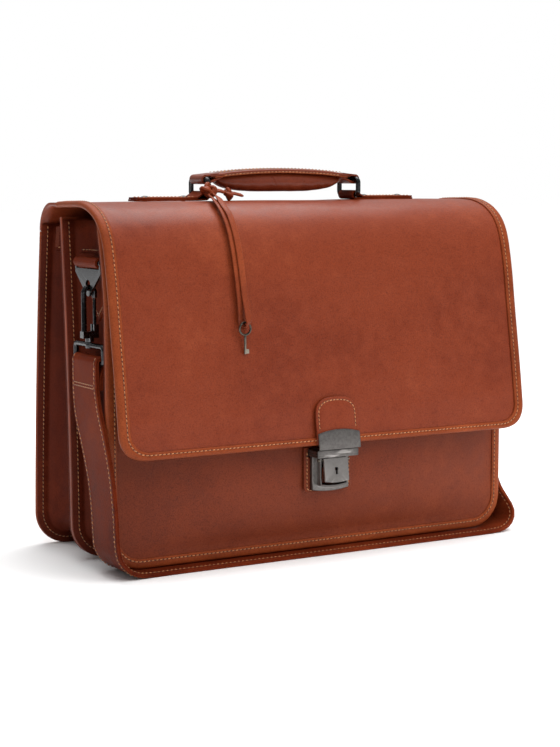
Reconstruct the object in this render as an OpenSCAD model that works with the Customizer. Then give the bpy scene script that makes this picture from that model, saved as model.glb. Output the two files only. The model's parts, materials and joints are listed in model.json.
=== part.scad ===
// Leather briefcase with two bellows compartments, a full front flap with a press lock,
// a carrying handle on two rings, and a shoulder strap clipped to both ends.
// +Z is up and the front faces -Y. Lengths are millimetres.

/* [Body] */
// Width over the stitched edges of the panels
body_w = 400; // [380:1:420]
// Height of the front panel's top edge
body_h = 293; // [290:1:296]
// Depth of the base, from the front panel to the back panel
base_d = 155; // [152:1:160]
// Radius of the panels' two bottom corners
corner_r = 30; // [29:1:34]
// Thickness of a panel with its lining
hide = 3; // [2.6:0.1:3.2]
// How far the middle of the front panel bulges forward
bulge = 17; // [10:1:18]
// Width of the flat stitched edge around each panel
seam_w = 8.5; // [7:0.5:10]

/* [Flap] */
// Width of the flap
flap_w = 406; // [402:1:412]
// Thickness of the flap
flap_t = 3.2; // [2.6:0.1:3.4]
// Radius of the flap's two bottom corners
flap_corner_r = 26; // [20:1:30]
// Width of the stitched binding around the flap
binding_w = 9.5; // [8:0.5:11]

/* [Handle] */
// Distance between the centres of the two rings
ring_span = 154; // [146:1:162]
// Width of the handle straps, along the ring bars
handle_w = 24; // [20:1:25]
// Height of the grip above its end loops
handle_rise = 5.5; // [4:0.5:10]

/* [Shoulder strap] */
// Width of the shoulder strap
strap_w = 48; // [40:1:50]
// Thickness of the shoulder strap
strap_t = 3.6; // [3:0.1:3.8]

/* [Hidden] */
$fn = 32;

// The origin is on the floor, under the middle of the whole width and depth, strap included.
frame_x = 6.8;
frame_y = 58.2;
half_w = body_w / 2;
run = 0.05;
gap = 0.3;

// Side view of the panels, as the y of a face at height z
lean_z = 200;
top_lean = 14;
hinge_z = 281;
back_lean = 21;
partition_t = 4;
partition_lean = 14;
partition_y = 74;
facing_t = 2.2;
front_foot = 4.4;
partition_foot = 2;
bulge_low = 18;
bulge_full = 75;
bulge_top = 100;

function front_edge(z) = z > lean_z ? top_lean * pow((z - lean_z) / (body_h - lean_z), 2) : 0;
function bulge_up(z) =
    z < bulge_full ? sin(90 * max(0, z - bulge_low) / (bulge_full - bulge_low)) :
    z < bulge_top ? 1 : cos(90 * (z - bulge_top) / (body_h + 2 - bulge_top));
function bulge_across(x) = 1 - pow(min(1, abs(x) / (half_w - 10)), 2.4);
function front_out(x, z) = front_edge(z) - bulge * bulge_up(z) * bulge_across(x);
function front_in(z) = front_edge(z) + hide;
function partition_mid(z) = partition_y + partition_lean * pow(z / body_h, 2);
function back_out(z) = base_d - back_lean * (0.36 * z / hinge_z + 0.64 * pow(z / hinge_z, 2));
function back_in(z) = back_out(z) - hide;

// Smooth line through hand-set points, with n steps between two of them
function line_at(p, i, t) =
    let (a = p[max(i - 1, 0)], b = p[i], c = p[i + 1], d = p[min(i + 2, len(p) - 1)])
    0.5 * (2 * b + (c - a) * t + (2 * a - 5 * b + 4 * c - d) * t * t
        + (3 * b - a - 3 * c + d) * t * t * t);
function along(p, t) = let (i = min(floor(t), len(p) - 2)) line_at(p, i, t - i);
function smooth(p, n) = concat([for (i = [0:len(p) - 2], k = [0:n - 1]) line_at(p, i, k / n)],
    [p[len(p) - 1]]);
function unit(v) = v / norm(v);

// Closed skin through rings of points, each counter-clockwise about the direction of travel
module skin(rings) {
    n = len(rings[0]);
    last = len(rings) - 1;
    sides = [for (k = [0:last - 1], i = [0:n - 1]) let (j = (i + 1) % n) each [
        [k * n + i, (k + 1) * n + i, (k + 1) * n + j],
        [k * n + i, (k + 1) * n + j, k * n + j]]];
    caps = [for (i = [0:n / 2 - 2]) each [[i, i + 1, n - 1 - i], [i + 1, n - 2 - i, n - 1 - i]]];
    polyhedron(points = [for (r = rings) each r], convexity = 10, faces = concat(caps, sides,
        [for (c = caps) [last * n + c[2], last * n + c[1], last * n + c[0]]]));
}

// Places the bag, drawn round its own middle, on the origin
module set() { translate([-frame_x, -frame_y, 0]) children(); }

// Left part as drawn, or its mirror image on the right
module side(right) { mirror([right ? 1 : 0, 0, 0]) children(); }

// ---- Panels ----

function panel_half(z, foot) =
    let (up = z - foot)
    up >= corner_r ? half_w : half_w - corner_r + sqrt(max(0, pow(corner_r, 2) - pow(corner_r - up, 2)));

function panel_rows(foot, top) = concat(
    [for (a = [0:18:72]) foot + corner_r * (1 - cos(a))],
    [for (k = [0:9]) foot + corner_r + (top - foot - corner_r) * k / 9]);

// The x of a panel's columns across a row of half width h: n steps to the seam on each side
function columns(h, n) = n == 0 ? [-h, h] :
    concat([-h], [for (i = [-n:n]) (h - seam_w - 1.5) * i / n], [h]);
function reversed(v) = [for (i = [len(v) - 1:-1:0]) v[i]];

// Panel between two faces, as functions of x and z
module panel(foot, top, low_face, high_face, n = 0) {
    skin([for (z = panel_rows(foot, top)) let (xs = columns(panel_half(z, foot), n)) concat(
        [for (x = xs) [x, low_face(x, z), z]], [for (x = reversed(xs)) [x, high_face(x, z), z]])]);
}

module back_panel() color([0.55, 0.22, 0.1]) set()
    panel(0, hinge_z - gap, function (x, z) back_in(z), function (x, z) back_out(z));

module partition() color([0.5, 0.2, 0.1]) set()
    panel(partition_foot, body_h + 1, function (x, z) partition_mid(z) - partition_t / 2,
        function (x, z) partition_mid(z) + partition_t / 2);

module front_panel() color([0.55, 0.22, 0.1]) set()
    panel(front_foot, body_h, function (x, z) front_out(x, z),
        function (x, z) front_out(x, z) + hide, 4);

// ---- U-shaped strips round the sides and the bottom ----

// Stations down the left side, along the bottom and up the right side: middle x, height share, angle
flat = half_w - corner_r;
rim = concat(
    [for (k = [9:-1:1]) [-flat, k / 9, 180]],
    [for (a = [180:18:270]) [-flat, 0, a]],
    [for (k = [1:5]) [-flat + 2 * flat * k / 6, 0, 270]],
    [for (a = [270:18:360]) [flat, 0, a]],
    [for (k = [1:9]) [flat, k / 9, 0]]);

// Point at distance d in from the rim of a panel that stands at foot and ends at top
function rim_at(s, d, foot, top) = [
    s[0] + (corner_r - d) * cos(s[2]),
    foot + corner_r + s[1] * (top - foot - corner_r) + (corner_r - d) * sin(s[2])];

// A strip lying on a face, with its thickness towards +Y
module rim_strip(inset, width, foot, top, face, t) {
    skin([for (s = rim) [for (c = [[inset, 0], [inset, t], [width, t], [width, 0]])
        let (p = rim_at(s, c[0], foot, top)) [p[0], face(p[1]) + c[1], p[1]]]]);
}

binding_t = 1.2;

module front_binding() color([0.7, 0.3, 0.13]) set()
    rim_strip(gap, seam_w, front_foot, body_h, function (z) front_edge(z) - binding_t, binding_t - 0.1);

module back_binding() color([0.7, 0.3, 0.13]) set()
    rim_strip(gap, seam_w, 0.2, hinge_z - gap, function (z) back_out(z) + 0.1, binding_t - 0.1);

// Bellows gusset between face a and face b. Its flanges lie on the panels, stitched outside.
flange = 9.5;

module gusset(face_a, face_b, foot_a, foot_b, top, fold, fold_share, fold_low) {
    skin([for (s = rim) let (
        deep = fold_low + (fold - fold_low) * abs(cos(s[2])),
        loop = [
            [gap, 0, facing_t], [flange, 0, facing_t],
            [flange + deep, fold_share, 0], [flange, 1, -facing_t], [gap, 1, -facing_t],
            [gap, 1, 0], [flange + facing_t, 1, 0],
            [flange + deep + facing_t * 1.2, fold_share, 0], [flange + facing_t, 0, 0],
            [gap, 0, 0]]
    ) [for (c = loop) let (
        foot = foot_a + (foot_b - foot_a) * c[1],
        p = rim_at(s, c[0], foot, top),
        y = face_a(p[1]) * (1 - c[1]) + face_b(p[1]) * c[1]
    ) [p[0], y + c[2], p[1]]]]);
}

rear_face_a = function (z) partition_mid(z) + partition_t / 2 + gap;
rear_face_b = function (z) back_in(z) - gap;
front_face_a = function (z) front_in(z) + gap;
front_face_b = function (z) partition_mid(z) - partition_t / 2 - gap;
rear_top = 287;
front_top = body_h - 1;
rear_fold = 14;
front_fold = 9;
front_fold_share = 0.72;
low_fold = 4;

module rear_gusset() color([0.45, 0.16, 0.08]) set()
    gusset(rear_face_a, rear_face_b, partition_foot, 0, rear_top, rear_fold, 0.5, low_fold);

module front_gusset() color([0.45, 0.16, 0.08]) set()
    gusset(front_face_a, front_face_b, front_foot, partition_foot, front_top,
        front_fold, front_fold_share, low_fold);

// Facing sewn inside the top of a gusset, on the left side and mirrored on the right
facing_z = 267;

module gusset_facing(face_a, face_b, top, fold, fold_share) {
    inner = flange + facing_t + gap;
    reach = fold + 1 + facing_t * 0.2;
    t = 1.4;
    for (right = [false, true]) side(right)
        skin([for (z = [facing_z, top - 2]) let (
            a = face_a(z) + 1,
            b = face_b(z) - 1,
            mid = face_a(z) * (1 - fold_share) + face_b(z) * fold_share
        ) [for (c = [[inner + t + 1, a], [inner + reach + t, mid], [inner + t + 1, b],
                [inner + 1, b], [inner + reach, mid], [inner + 1, a]])
            [-half_w + c[0], c[1], z]]]);
}

module rear_gusset_facing() color([0.5, 0.2, 0.1]) set()
    gusset_facing(rear_face_a, rear_face_b, rear_top, rear_fold, 0.5);

module front_gusset_facing() color([0.5, 0.2, 0.1]) set()
    gusset_facing(front_face_a, front_face_b, front_top, front_fold, front_fold_share);

// Slip pocket on the rear side of the partition
pocket_w = 300;
pocket_low = 60;
pocket_high = 230;
pocket_t = 1.5;

module slip_pocket() color([0.35, 0.15, 0.08]) set()
    skin([for (k = [0:6]) let (
        z = pocket_low + (pocket_high - pocket_low) * k / 6,
        y = partition_mid(z) + partition_t / 2 + gap
    ) [[-pocket_w / 2, y, z], [pocket_w / 2, y, z],
        [pocket_w / 2, y + pocket_t, z], [-pocket_w / 2, y + pocket_t, z]]]);

// ---- Flap ----

// Outer line of the flap in side view, from the hinge over the top and down the front
flap_line = [[91, 306], [70, 306.7], [38, 306.3], [14, 298], [-2, 281], [-11, 250],
    [-18, 206], [-26, 157], [-34, 101]];
hinge_y = 109;
roll_r = 25;
ends = len(flap_line) - 1;
foot_len = norm(flap_line[ends] - flap_line[ends - 1]);
flap_tilt = atan((flap_line[ends - 1][0] - flap_line[ends][0])
    / (flap_line[ends - 1][1] - flap_line[ends][1]));

function share(s) = ends - s / foot_len;
function outward(t) =
    let (d = unit(along(flap_line, min(ends, t + 0.05)) - along(flap_line, max(0, t - 0.05))))
    [d[1], -d[0]];
// Point of the flap's outer face at x and share t of the line, raised by h
function flap_at(x, t, h) = let (p = along(flap_line, t) + h * outward(t)) [x, p[0], p[1]];
function flap_half(s) = s >= flap_corner_r ? flap_w / 2 :
    flap_w / 2 - flap_corner_r + sqrt(max(0, pow(flap_corner_r, 2) - pow(flap_corner_r - s, 2)));

flap_start = 0.01;
flap_shares = concat([for (k = [0:22]) max(flap_start, k / 3)],
    [for (a = [0:18:90]) share(flap_corner_r * (1 - sin(a)))]);

module flap() color([0.6, 0.24, 0.11]) set()
    skin([for (t = flap_shares) let (h = flap_half((ends - t) * foot_len))
        [flap_at(-h, t, -flap_t), flap_at(h, t, -flap_t), flap_at(h, t, 0), flap_at(-h, t, 0)]]);

// Stations round the flap's edge: x, share, and the direction in from the edge
flap_flat = flap_w / 2 - flap_corner_r;
corner_share = share(flap_corner_r);
flap_rim = concat(
    [for (k = [0:22]) [-flap_w / 2, max(flap_start, k / 3), 1, 0]],
    [for (a = [0:18:90]) [-flap_flat - flap_corner_r * cos(a),
        share(flap_corner_r * (1 - sin(a))), cos(a), sin(a)]],
    [for (k = [1:3]) [-flap_flat + flap_flat * k / 2, ends, 0, 1]],
    [for (a = [90:-18:0]) [flap_flat + flap_corner_r * cos(a),
        share(flap_corner_r * (1 - sin(a))), -cos(a), sin(a)]],
    [for (k = [22:-1:0]) [flap_w / 2, max(flap_start, k / 3), -1, 0]]);

module flap_binding() color([0.75, 0.35, 0.15]) set()
    skin([for (s = flap_rim) [for (c = [[0, 0.15], [binding_w, 0.15], [binding_w, 1.1], [0, 1.1]])
        flap_at(s[0] + c[0] * s[2], s[1] - c[0] * s[3] / foot_len, c[1])]]);

// The leather that rolls from the back panel to the flap round the hinge line
module flap_hinge() color([0.6, 0.24, 0.11]) set()
    translate([-half_w, hinge_y, hinge_z]) rotate([90, 0, 90])
        linear_extrude(body_w) difference() {
            union() {
                intersection() {
                    circle(roll_r, $fn = 64);
                    translate([-0.1, 0.4]) square(roll_r);
                }
                translate([flap_line[0][0] - hinge_y + gap, 0.4]) square([hinge_y - flap_line[0][0], roll_r - 0.4]);
            }
            circle(roll_r - flap_t, $fn = 64);
            translate([-roll_r, 0]) square([roll_r, roll_r - flap_t]);
        }

// Leather strip under the flap that spreads the handle's load
module flap_stiffener() color([0.4, 0.17, 0.1]) set()
    translate([-170, handle_y - 28, 299.4]) cube([340, 44, 2.4]);

// ---- Handle ----

handle_y = 69;
wire_r = 2.2;
loop_t = 2;
ring_x = ring_span / 2;
bar_low = 311.4;
bar_high = 325.6;
ring_d = 31.6;

// Closed wire rectangle in the YZ plane, centred on the origin
module wire_loop(w, h, r, corner) {
    for (s = [-1, 1]) {
        translate([0, s * w / 2, 0]) cylinder(r = r, h = h - 2 * corner, center = true);
        translate([0, 0, s * h / 2]) rotate([90, 0, 0])
            cylinder(r = r, h = w - 2 * corner, center = true);
        for (q = [-1, 1]) translate([0, s * (w / 2 - corner), q * (h / 2 - corner)])
            rotate([0, 90, 0]) rotate([0, 0, atan2(s, -q) - 45])
                rotate_extrude(angle = 90) translate([corner, 0]) circle(r);
    }
}

module ring() translate([-ring_x, handle_y, (bar_low + bar_high) / 2])
    wire_loop(ring_d, bar_high - bar_low, wire_r, 3.5);

module ring_left() color([0.3, 0.28, 0.26]) set() ring();
module ring_right() color([0.3, 0.28, 0.26]) set() side(true) ring();

// Leather loop round a bar at the origin with a tail, drawn in XZ and extruded along Y
module loop_strip(w) rotate([90, 0, 0]) linear_extrude(w, center = true) difference() {
    union() {
        circle(wire_r + run + loop_t);
        children();
    }
    circle(wire_r + run);
}

chape_out = 145;

module chape() translate([-ring_x, handle_y, bar_low]) loop_strip(handle_w)
    translate([ring_x - chape_out, -(wire_r + run + loop_t)]) square([chape_out - ring_x, 3.2]);

module chape_left() color([0.6, 0.24, 0.11]) set() chape();
module chape_right() color([0.6, 0.24, 0.11]) set() side(true) chape();

rivet_x = [93, 130];
rivet_y = [-6, 6];

// Rivets with a domed head on each chape and a washer under the stiffener
module handle_rivets() color([0.3, 0.28, 0.26]) set()
    for (s = [-1, 1], x = rivet_x) translate([s * x, handle_y, 0]) {
        translate([0, 0, bar_low - wire_r - run - loop_t + 3.3]) intersection() {
            cylinder(r = 4, h = 1.3);
            translate([0, 0, -5.6]) sphere(6.9);
        }
        translate([0, 0, 298]) cylinder(r = 1.5, h = 12.5);
        translate([0, 0, 298]) cylinder(r = 4.5, h = 1.2);
    }

// Underside of the handle strap at x
function arch(x) = bar_high + 1.3 + handle_rise * pow(cos(90 * min(1, abs(x) / ring_x)), 0.8);
strap_layer = 2.4;

module handle_strap() color([0.65, 0.27, 0.12]) set() translate([0, handle_y, 0])
    rotate([90, 0, 0]) linear_extrude(handle_w, center = true) difference() {
        union() {
            polygon(concat([for (k = [-12:12]) let (x = ring_x * k / 12) [x, arch(x) + 0.6]],
                [for (k = [12:-1:-12]) let (x = ring_x * k / 12) [x, arch(x) + strap_layer + 0.6]]));
            for (s = [-1, 1]) translate([s * ring_x, bar_high]) circle(wire_r + run + loop_t);
        }
        for (s = [-1, 1]) translate([s * ring_x, bar_high]) circle(wire_r + run);
    }

grip_half = 64;
grip_low = 316;

// Padded roll under the strap, shrunk by t
module grip_roll(t) skin([for (k = [-7:7]) let (
        x = (grip_half - t) * k / 7,
        full = sqrt(max(0, 1 - pow(abs(x) / (grip_half + 2), 3))),
        top = arch(x) + 0.3 - t,
        deep = (arch(0) - grip_low) * full - 2 * t,
        wide = 6 + (handle_w / 2 - 6) * full - t
    ) [for (a = [0:30:330]) [x, handle_y + wide * cos(a), top - deep / 2 + deep / 2 * sin(a)]]]);

module handle_grip() color([0.5, 0.18, 0.09]) set() difference() {
    grip_roll(0);
    grip_roll(2);
}

module handle_core() color([0.8, 0.75, 0.65]) set() grip_roll(2.3);

// ---- Lock ----

lock_w = 37;
lock_low = 58.5;
base_back = -20.3;
base_front = -32;
bar_w = 42;
bar_foot = 89.7;
bar_head = 96.3;
bar_front = -38;
slot_front = -34;
pin_y = -28.8;
pin_z = 86.4;
pin_r = 1;
lever_tilt = 8;
lever_w = 24;
plate_t = 2;

// Leather patch on the front panel under the lock
module lock_patch() color([0.62, 0.26, 0.12]) set()
    translate([0, base_back + gap + 2.4, 57]) rotate([90, 0, 0]) linear_extrude(2.4)
        hull() {
            for (s = [-1, 1]) translate([s * 19, 5]) circle(5);
            translate([-24, 36]) square([48, 5]);
        }

// Outline of the base plate with its bowed lower edge
module lock_outline() intersection() {
    translate([-lock_w / 2, lock_low]) square([lock_w, bar_foot + 1 - lock_low]);
    translate([0, lock_low + 90]) circle(90, $fn = 128);
}

module lock_base() color([0.55, 0.54, 0.52]) set() difference() {
    union() {
        translate([0, base_back, 0]) rotate([90, 0, 0]) linear_extrude(base_back - base_front)
            lock_outline();
        translate([-bar_w / 2, bar_front, bar_foot])
            cube([bar_w, base_back - bar_front, bar_head - bar_foot]);
    }
    // window and well of the lever
    translate([-lever_w / 2 - 0.5, base_front - 1, 65.5])
        cube([lever_w + 1, base_back - base_front - 1, bar_foot - 65.5]);
    // slot for the tongue, open at the top
    translate([-10, slot_front, 85]) cube([20, 11.5, 20]);
    // holes of the lever's pin
    translate([-16, pin_y, pin_z]) rotate([0, 90, 0]) cylinder(r = pin_r + 0.02, h = 32);
}

module lock_pin() color([0.7, 0.7, 0.68]) set()
    translate([-15.8, pin_y, pin_z]) rotate([0, 90, 0]) cylinder(r = pin_r, h = 31.6);

// Frame of the lever: its pin is on the origin and its plate hangs down, tilted out at the foot
module lever_frame() translate([0, pin_y, pin_z]) rotate([-lever_tilt, 0, 0]) children();

lever_drop = 19.6;
lever_face = -4;
key_z = -8;

module keyhole() {
    circle(1.7);
    translate([-0.9, -4.6]) square([1.8, 4.6]);
}

module lock_button() color([0.62, 0.61, 0.58]) set() lever_frame() difference() {
    union() {
        // plate with a bowed lower edge
        translate([0, lever_face + plate_t, 0]) rotate([90, 0, 0]) linear_extrude(plate_t)
            intersection() {
                translate([-lever_w / 2, -lever_drop]) square([lever_w, lever_drop + 1.4]);
                translate([0, -lever_drop + 60]) circle(60, $fn = 96);
            }
        // two ears round the pin, and the nose that holds the tongue
        for (s = [-1, 1]) translate([s * 9 - 2, 0, 0]) {
            rotate([0, 90, 0]) cylinder(r = 2.4, h = 4);
            translate([0, lever_face + 1, -2.4]) cube([4, 3, 3.6]);
        }
        translate([-6, -2.4, -2]) cube([12, 2, 6.6]);
        translate([-7.2, -2.4, -2]) cube([14.4, 2, 2]);
        // boss behind the plate that guides the key cam
        translate([0, lever_face + plate_t - 0.5, key_z]) rotate([-90, 0, 0]) difference() {
            cylinder(r = 6.2, h = 2.6);
            cylinder(r = 4.6, h = 9, center = true);
        }
        translate([-7.2, lever_face + 1, -3.4]) cube([14.4, 2, 2.4]);
    }
    translate([0, lever_face + 5, key_z]) rotate([90, 0, 0]) linear_extrude(9) keyhole();
    translate([-12, 0, 0]) rotate([0, 90, 0]) cylinder(r = pin_r + run, h = 24);
    translate([0, lever_face + plate_t + 0.1, key_z]) rotate([-90, 0, 0]) cylinder(r = 4.6, h = 4);
}

// Cam that the key turns, behind the lever's plate
module key_cam() color([0.5, 0.48, 0.45]) set() lever_frame()
    translate([0, lever_face + plate_t + 0.3, key_z]) rotate([-90, 0, 0]) difference() {
        cylinder(r = 4.55, h = 1.9);
        translate([0, 0, -1]) linear_extrude(4) keyhole_slot();
    }

module keyhole_slot() {
    circle(1.4);
    translate([-0.7, -0.4]) square([1.4, 4]);
}

// Coil that pushes the lever out
module lock_spring() color([0.7, 0.7, 0.68]) set()
    for (k = [0:3]) translate([0, -22.9 - 1.15 * k, 69.4]) rotate([90, 0, 0])
        rotate_extrude() translate([2, 0]) circle(0.45, $fn = 16);

module lock_backplate() color([0.5, 0.5, 0.5]) set()
    translate([-18, -12.5, 62]) cube([36, 1, 24]);

module lock_screws() color([0.7, 0.7, 0.68]) set()
    for (s = [-1, 1]) translate([s * 15, -11.2, 74]) rotate([90, 0, 0]) {
        cylinder(r = 1.2, h = 8.5);
        translate([0, 0, -0.9]) cylinder(r = 2.6, h = 0.9);
    }

// Frame of the flap's foot: y towards the back, z up along the flap from its bottom edge
module foot_frame() translate([0, flap_line[ends][0], flap_line[ends][1]])
    rotate([-flap_tilt, 0, 0]) children();

module lock_tab() color([0.65, 0.27, 0.12]) set() foot_frame()
    translate([0, -1.7, 0.5]) rotate([90, 0, 0]) linear_extrude(2) union() {
        translate([-21, 0]) square([42, 24]);
        translate([0, 24]) intersection() {
            tab_arch();
            translate([-21, -1]) square([42, 20]);
        }
    }

// Low arch that rounds the top of the lock tab
module tab_arch() hull() {
    for (s = [-1, 1]) translate([s * 8, 1]) circle(13);
    translate([0, -4]) circle(20);
}

// Metal channel round the flap's bottom edge
module hasp_plate() color([0.55, 0.54, 0.52]) set() foot_frame() difference() {
    union() {
        translate([-20.8, -5.5, -1.8]) cube([41.6, 1.6, 10.2]);
        translate([-20.8, -5.5, -1.8]) cube([41.6, 10.7, 1.3]);
        translate([-16, 3.7, -1.8]) cube([32, 1.5, 8]);
    }
    // arched top edge
    translate([0, 0, -81.5]) rotate([90, 0, 0]) difference() {
        cylinder(r = 140, h = 20, center = true);
        cylinder(r = 89.9, h = 21, center = true, $fn = 128);
    }
}

// Tongue under the channel, aimed along the path of the closing flap
module hasp_tongue() color([0.5, 0.48, 0.45]) set()
    rotate([90, 0, 90]) linear_extrude(16, center = true)
        polygon([[-33, 98.2], [-33, 96.4], [-27.6, 92.2], [-26.3, 93.6], [-30.4, 96.8], [-30.4, 97]]);

// ---- Side hardware, drawn on the left ----

rig_x = -197.4;
rig_y = 37.4;
tab_w = 43;
tri_w = 50;
tri_bar = 258;
tri_t = 2;
hole_z = 239;
hole_r = 4.6;
hook_r = 2.2;
hook_bend = 4.8;
hook_top = hole_z - hole_r + 1 + hook_r;
eye_z = 176;
tail_x = 4.7;
tail_t = 2.4;
tail_turn = 9.5;

// Frame of the tab's tail, which lies on the slanting gusset: its origin is the tail's front edge
module tail_frame() translate([tail_x, -tab_w / 2, 0]) rotate([0, 0, -tail_turn]) children();

// Folded tab on the gusset that holds the triangle's bar, with its pointed tail
module side_tab() translate([rig_x, rig_y, 0]) difference() {
    union() {
        translate([0, 0, tri_bar]) rotate([90, 0, 0]) linear_extrude(tab_w, center = true) {
            circle(4.6);
            translate([0, 1.2]) square([18, 3.4]);
        }
        tail_frame() rotate([90, 0, 90]) linear_extrude(tail_t) polygon([
            [0, tri_bar + 4.6], [0, 222], [tab_w / 2, 208], [tab_w, 222], [tab_w, tri_bar + 4.6]]);
    }
    translate([0, 0, tri_bar]) rotate([90, 0, 0]) cylinder(r = wire_r + run, h = 60, center = true);
    tail_frame() translate([tail_t, -10, 200]) cube([40, 70, 80]);
}

module side_tab_left() color([0.65, 0.27, 0.12]) set() side_tab();
module side_tab_right() color([0.65, 0.27, 0.12]) set() side(true) side_tab();

// Triangular plate hung on its bar, with the hole for the hook
module triangle() translate([rig_x, rig_y, 0]) {
    translate([0, 0, tri_bar]) rotate([90, 0, 0]) cylinder(r = wire_r, h = tri_w - 6, center = true);
    for (s = [-1, 1]) translate([0, s * (tri_w / 2 - 1.5), 0]) {
        translate([0, 0, tri_bar]) rotate([90, 0, 0]) cylinder(r = wire_r, h = 3, center = true);
        translate([0, 0, tri_bar]) rotate([0, 180, 0]) cylinder(r = 1.5, h = 6);
    }
    difference() {
        translate([-tri_t / 2, 0, 0]) rotate([90, 0, 90]) linear_extrude(tri_t) hull() {
            translate([-tri_w / 2, 249.5]) square([tri_w, 3.2]);
            translate([0, 234.5]) circle(4.6);
        }
        translate([-4, 0, hole_z]) rotate([0, 90, 0]) cylinder(r = hole_r, h = 8);
    }
}

module triangle_left() color([0.32, 0.3, 0.29]) set() triangle();
module triangle_right() color([0.32, 0.3, 0.29]) set() side(true) triangle();

// Snap hook in the XZ plane: bend through the triangle, limb outside, nose and gate inside
limb_low = 201;
collar_z = 192.2;
post_r = 1.6;
nose_z = 228.5;
gate_pin_z = 203;

module snap_hook() translate([rig_x, rig_y, 0]) {
    translate([0, 0, hook_top - hook_bend]) rotate([90, 0, 0])
        rotate_extrude(angle = 180) translate([hook_bend, 0]) circle(hook_r);
    translate([-hook_bend, 0, limb_low]) cylinder(r = hook_r, h = hook_top - hook_bend - limb_low);
    translate([hook_bend, 0, nose_z]) cylinder(r = hook_r, h = hook_top - hook_bend - nose_z);
    // foot that carries the gate's fork and the swivel collar
    difference() {
        union() {
            translate([-hook_bend - hook_r, -3.4, collar_z + 3.2])
                cube([2 * (hook_bend + hook_r), 6.8, 5.6]);
            for (s = [-1, 1]) translate([hook_bend - 2.2, s * 2.6 - 0.8, collar_z + 8])
                cube([4.4, 1.6, 6.5]);
            translate([0, 0, collar_z]) cylinder(r = 3.6, h = 3.6);
        }
        translate([0, 0, collar_z - 1]) cylinder(r = post_r + run, h = 5);
        translate([0, 0, collar_z + 3.6]) cylinder(r = 2.9, h = 2.4);
        translate([hook_bend, 0, gate_pin_z]) rotate([90, 0, 0])
            cylinder(r = 0.8 + run, h = 12, center = true);
    }
}

module snap_hook_left() color([0.3, 0.29, 0.29]) set() snap_hook();
module snap_hook_right() color([0.3, 0.29, 0.29]) set() side(true) snap_hook();

// Gate on its pin, closing the hook's throat
module snap_gate() translate([rig_x + hook_bend, rig_y, 0]) {
    translate([0, 0, gate_pin_z + 1]) cylinder(r = 1.45, h = nose_z - gate_pin_z - 1.4);
    translate([0, 0, gate_pin_z]) rotate([90, 0, 0]) cylinder(r = 1.7, h = 3, center = true);
    translate([0, 0, gate_pin_z]) rotate([90, 0, 0]) cylinder(r = 0.8, h = 7, center = true);
}

module snap_gate_left() color([0.45, 0.44, 0.43]) set() snap_gate();
module snap_gate_right() color([0.45, 0.44, 0.43]) set() side(true) snap_gate();

// Rectangular eye that hangs from the swivel post and carries the strap's end
eye_h = 13.6;

module swivel_eye() translate([rig_x, rig_y, 0]) {
    translate([0, 0, eye_z + eye_h / 2]) wire_loop(strap_w + 7.2, eye_h, wire_r, 3.5);
    translate([0, 0, eye_z + eye_h]) cylinder(r = post_r, h = collar_z - eye_z - eye_h + 4);
    translate([0, 0, collar_z + 3.8]) cylinder(r = 2.7, h = 1.6);
    translate([0, 0, eye_z + eye_h - 2.6]) cylinder(r = 3.4, h = 3.4);
}

module swivel_eye_left() color([0.3, 0.29, 0.29]) set() swivel_eye();
module swivel_eye_right() color([0.3, 0.29, 0.29]) set() side(true) swivel_eye();

// ---- Shoulder strap ----

loop_r = wire_r + run + strap_t;
end_foot = 23;

// Folded end sewn round the eye's bar, drawn in XZ
module strap_end() translate([rig_x, rig_y, eye_z]) rotate([90, 0, 0])
    linear_extrude(strap_w, center = true) difference() {
        union() {
            circle(loop_r);
            polygon([[-loop_r, 0], [-loop_r, -end_foot], [-loop_r + 2 * strap_t, -end_foot],
                [-loop_r + 2 * strap_t, -16], [loop_r - 1.2, -3], [2.4, 0]]);
        }
        circle(wire_r + run);
    }

module strap_end_left() color([0.55, 0.24, 0.12]) set() strap_end();
module strap_end_right() color([0.55, 0.24, 0.12]) set() side(true) strap_end();

// Middle line of the strap from the left end, under the bag and up to the right end
strap_x = -rig_x + loop_r - strap_t / 2;
strap_mid = [
    [-strap_x, rig_y, 151.8], [-strap_x, 36.5, 146], [-202.3, 29, 130], [-202.3, 18, 108],
    [-202.3, 8, 84], [-202.3, 2, 58], [-202.4, -1, 34], [-199.6, 0.5, 20.5], [-191.6, 2.5, 10],
    [-181, 4.5, 4], [-168, 6, 2.1], [-140, 7, 1.9], [-70, 7, 1.8], [0, 7, 1.8], [70, 7, 1.8],
    [140, 7, 1.9], [182, 7.4, 2.1], [197, 8.6, 3.9], [205.4, 12, 10], [207.2, 18, 19.6], [205.6, 25.5, 32],
    [204, 33, 47], [203.2, 37.2, 64], [203.2, 37.4, 82], [204.8, rig_y, 98], [208.4, rig_y, 110], [211.2, rig_y, 122],
    [211.4, rig_y, 131], [209.8, rig_y, 142], [208.4, rig_y, 151], [208.4, rig_y, 164]];

function ribbon(p, w, t) = [for (i = [0:len(p) - 1]) let (
        d = unit(p[min(i + 1, len(p) - 1)] - p[max(i - 1, 0)]),
        across = unit([0, 1, 0] - d * d[1]),
        up = cross(d, across)
    ) [for (c = [[-1, -1], [1, -1], [1, 1], [-1, 1]])
        p[i] + across * c[0] * w / 2 + up * c[1] * t / 2]];

module shoulder_strap() color([0.55, 0.24, 0.12]) set() difference() {
    skin(ribbon(smooth(strap_mid, 2), strap_w, strap_t));
    // slot that the prong passes through
    translate([200, buckle_y - 2.6, 103]) cube([20, 5.2, 27]);
}

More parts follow.
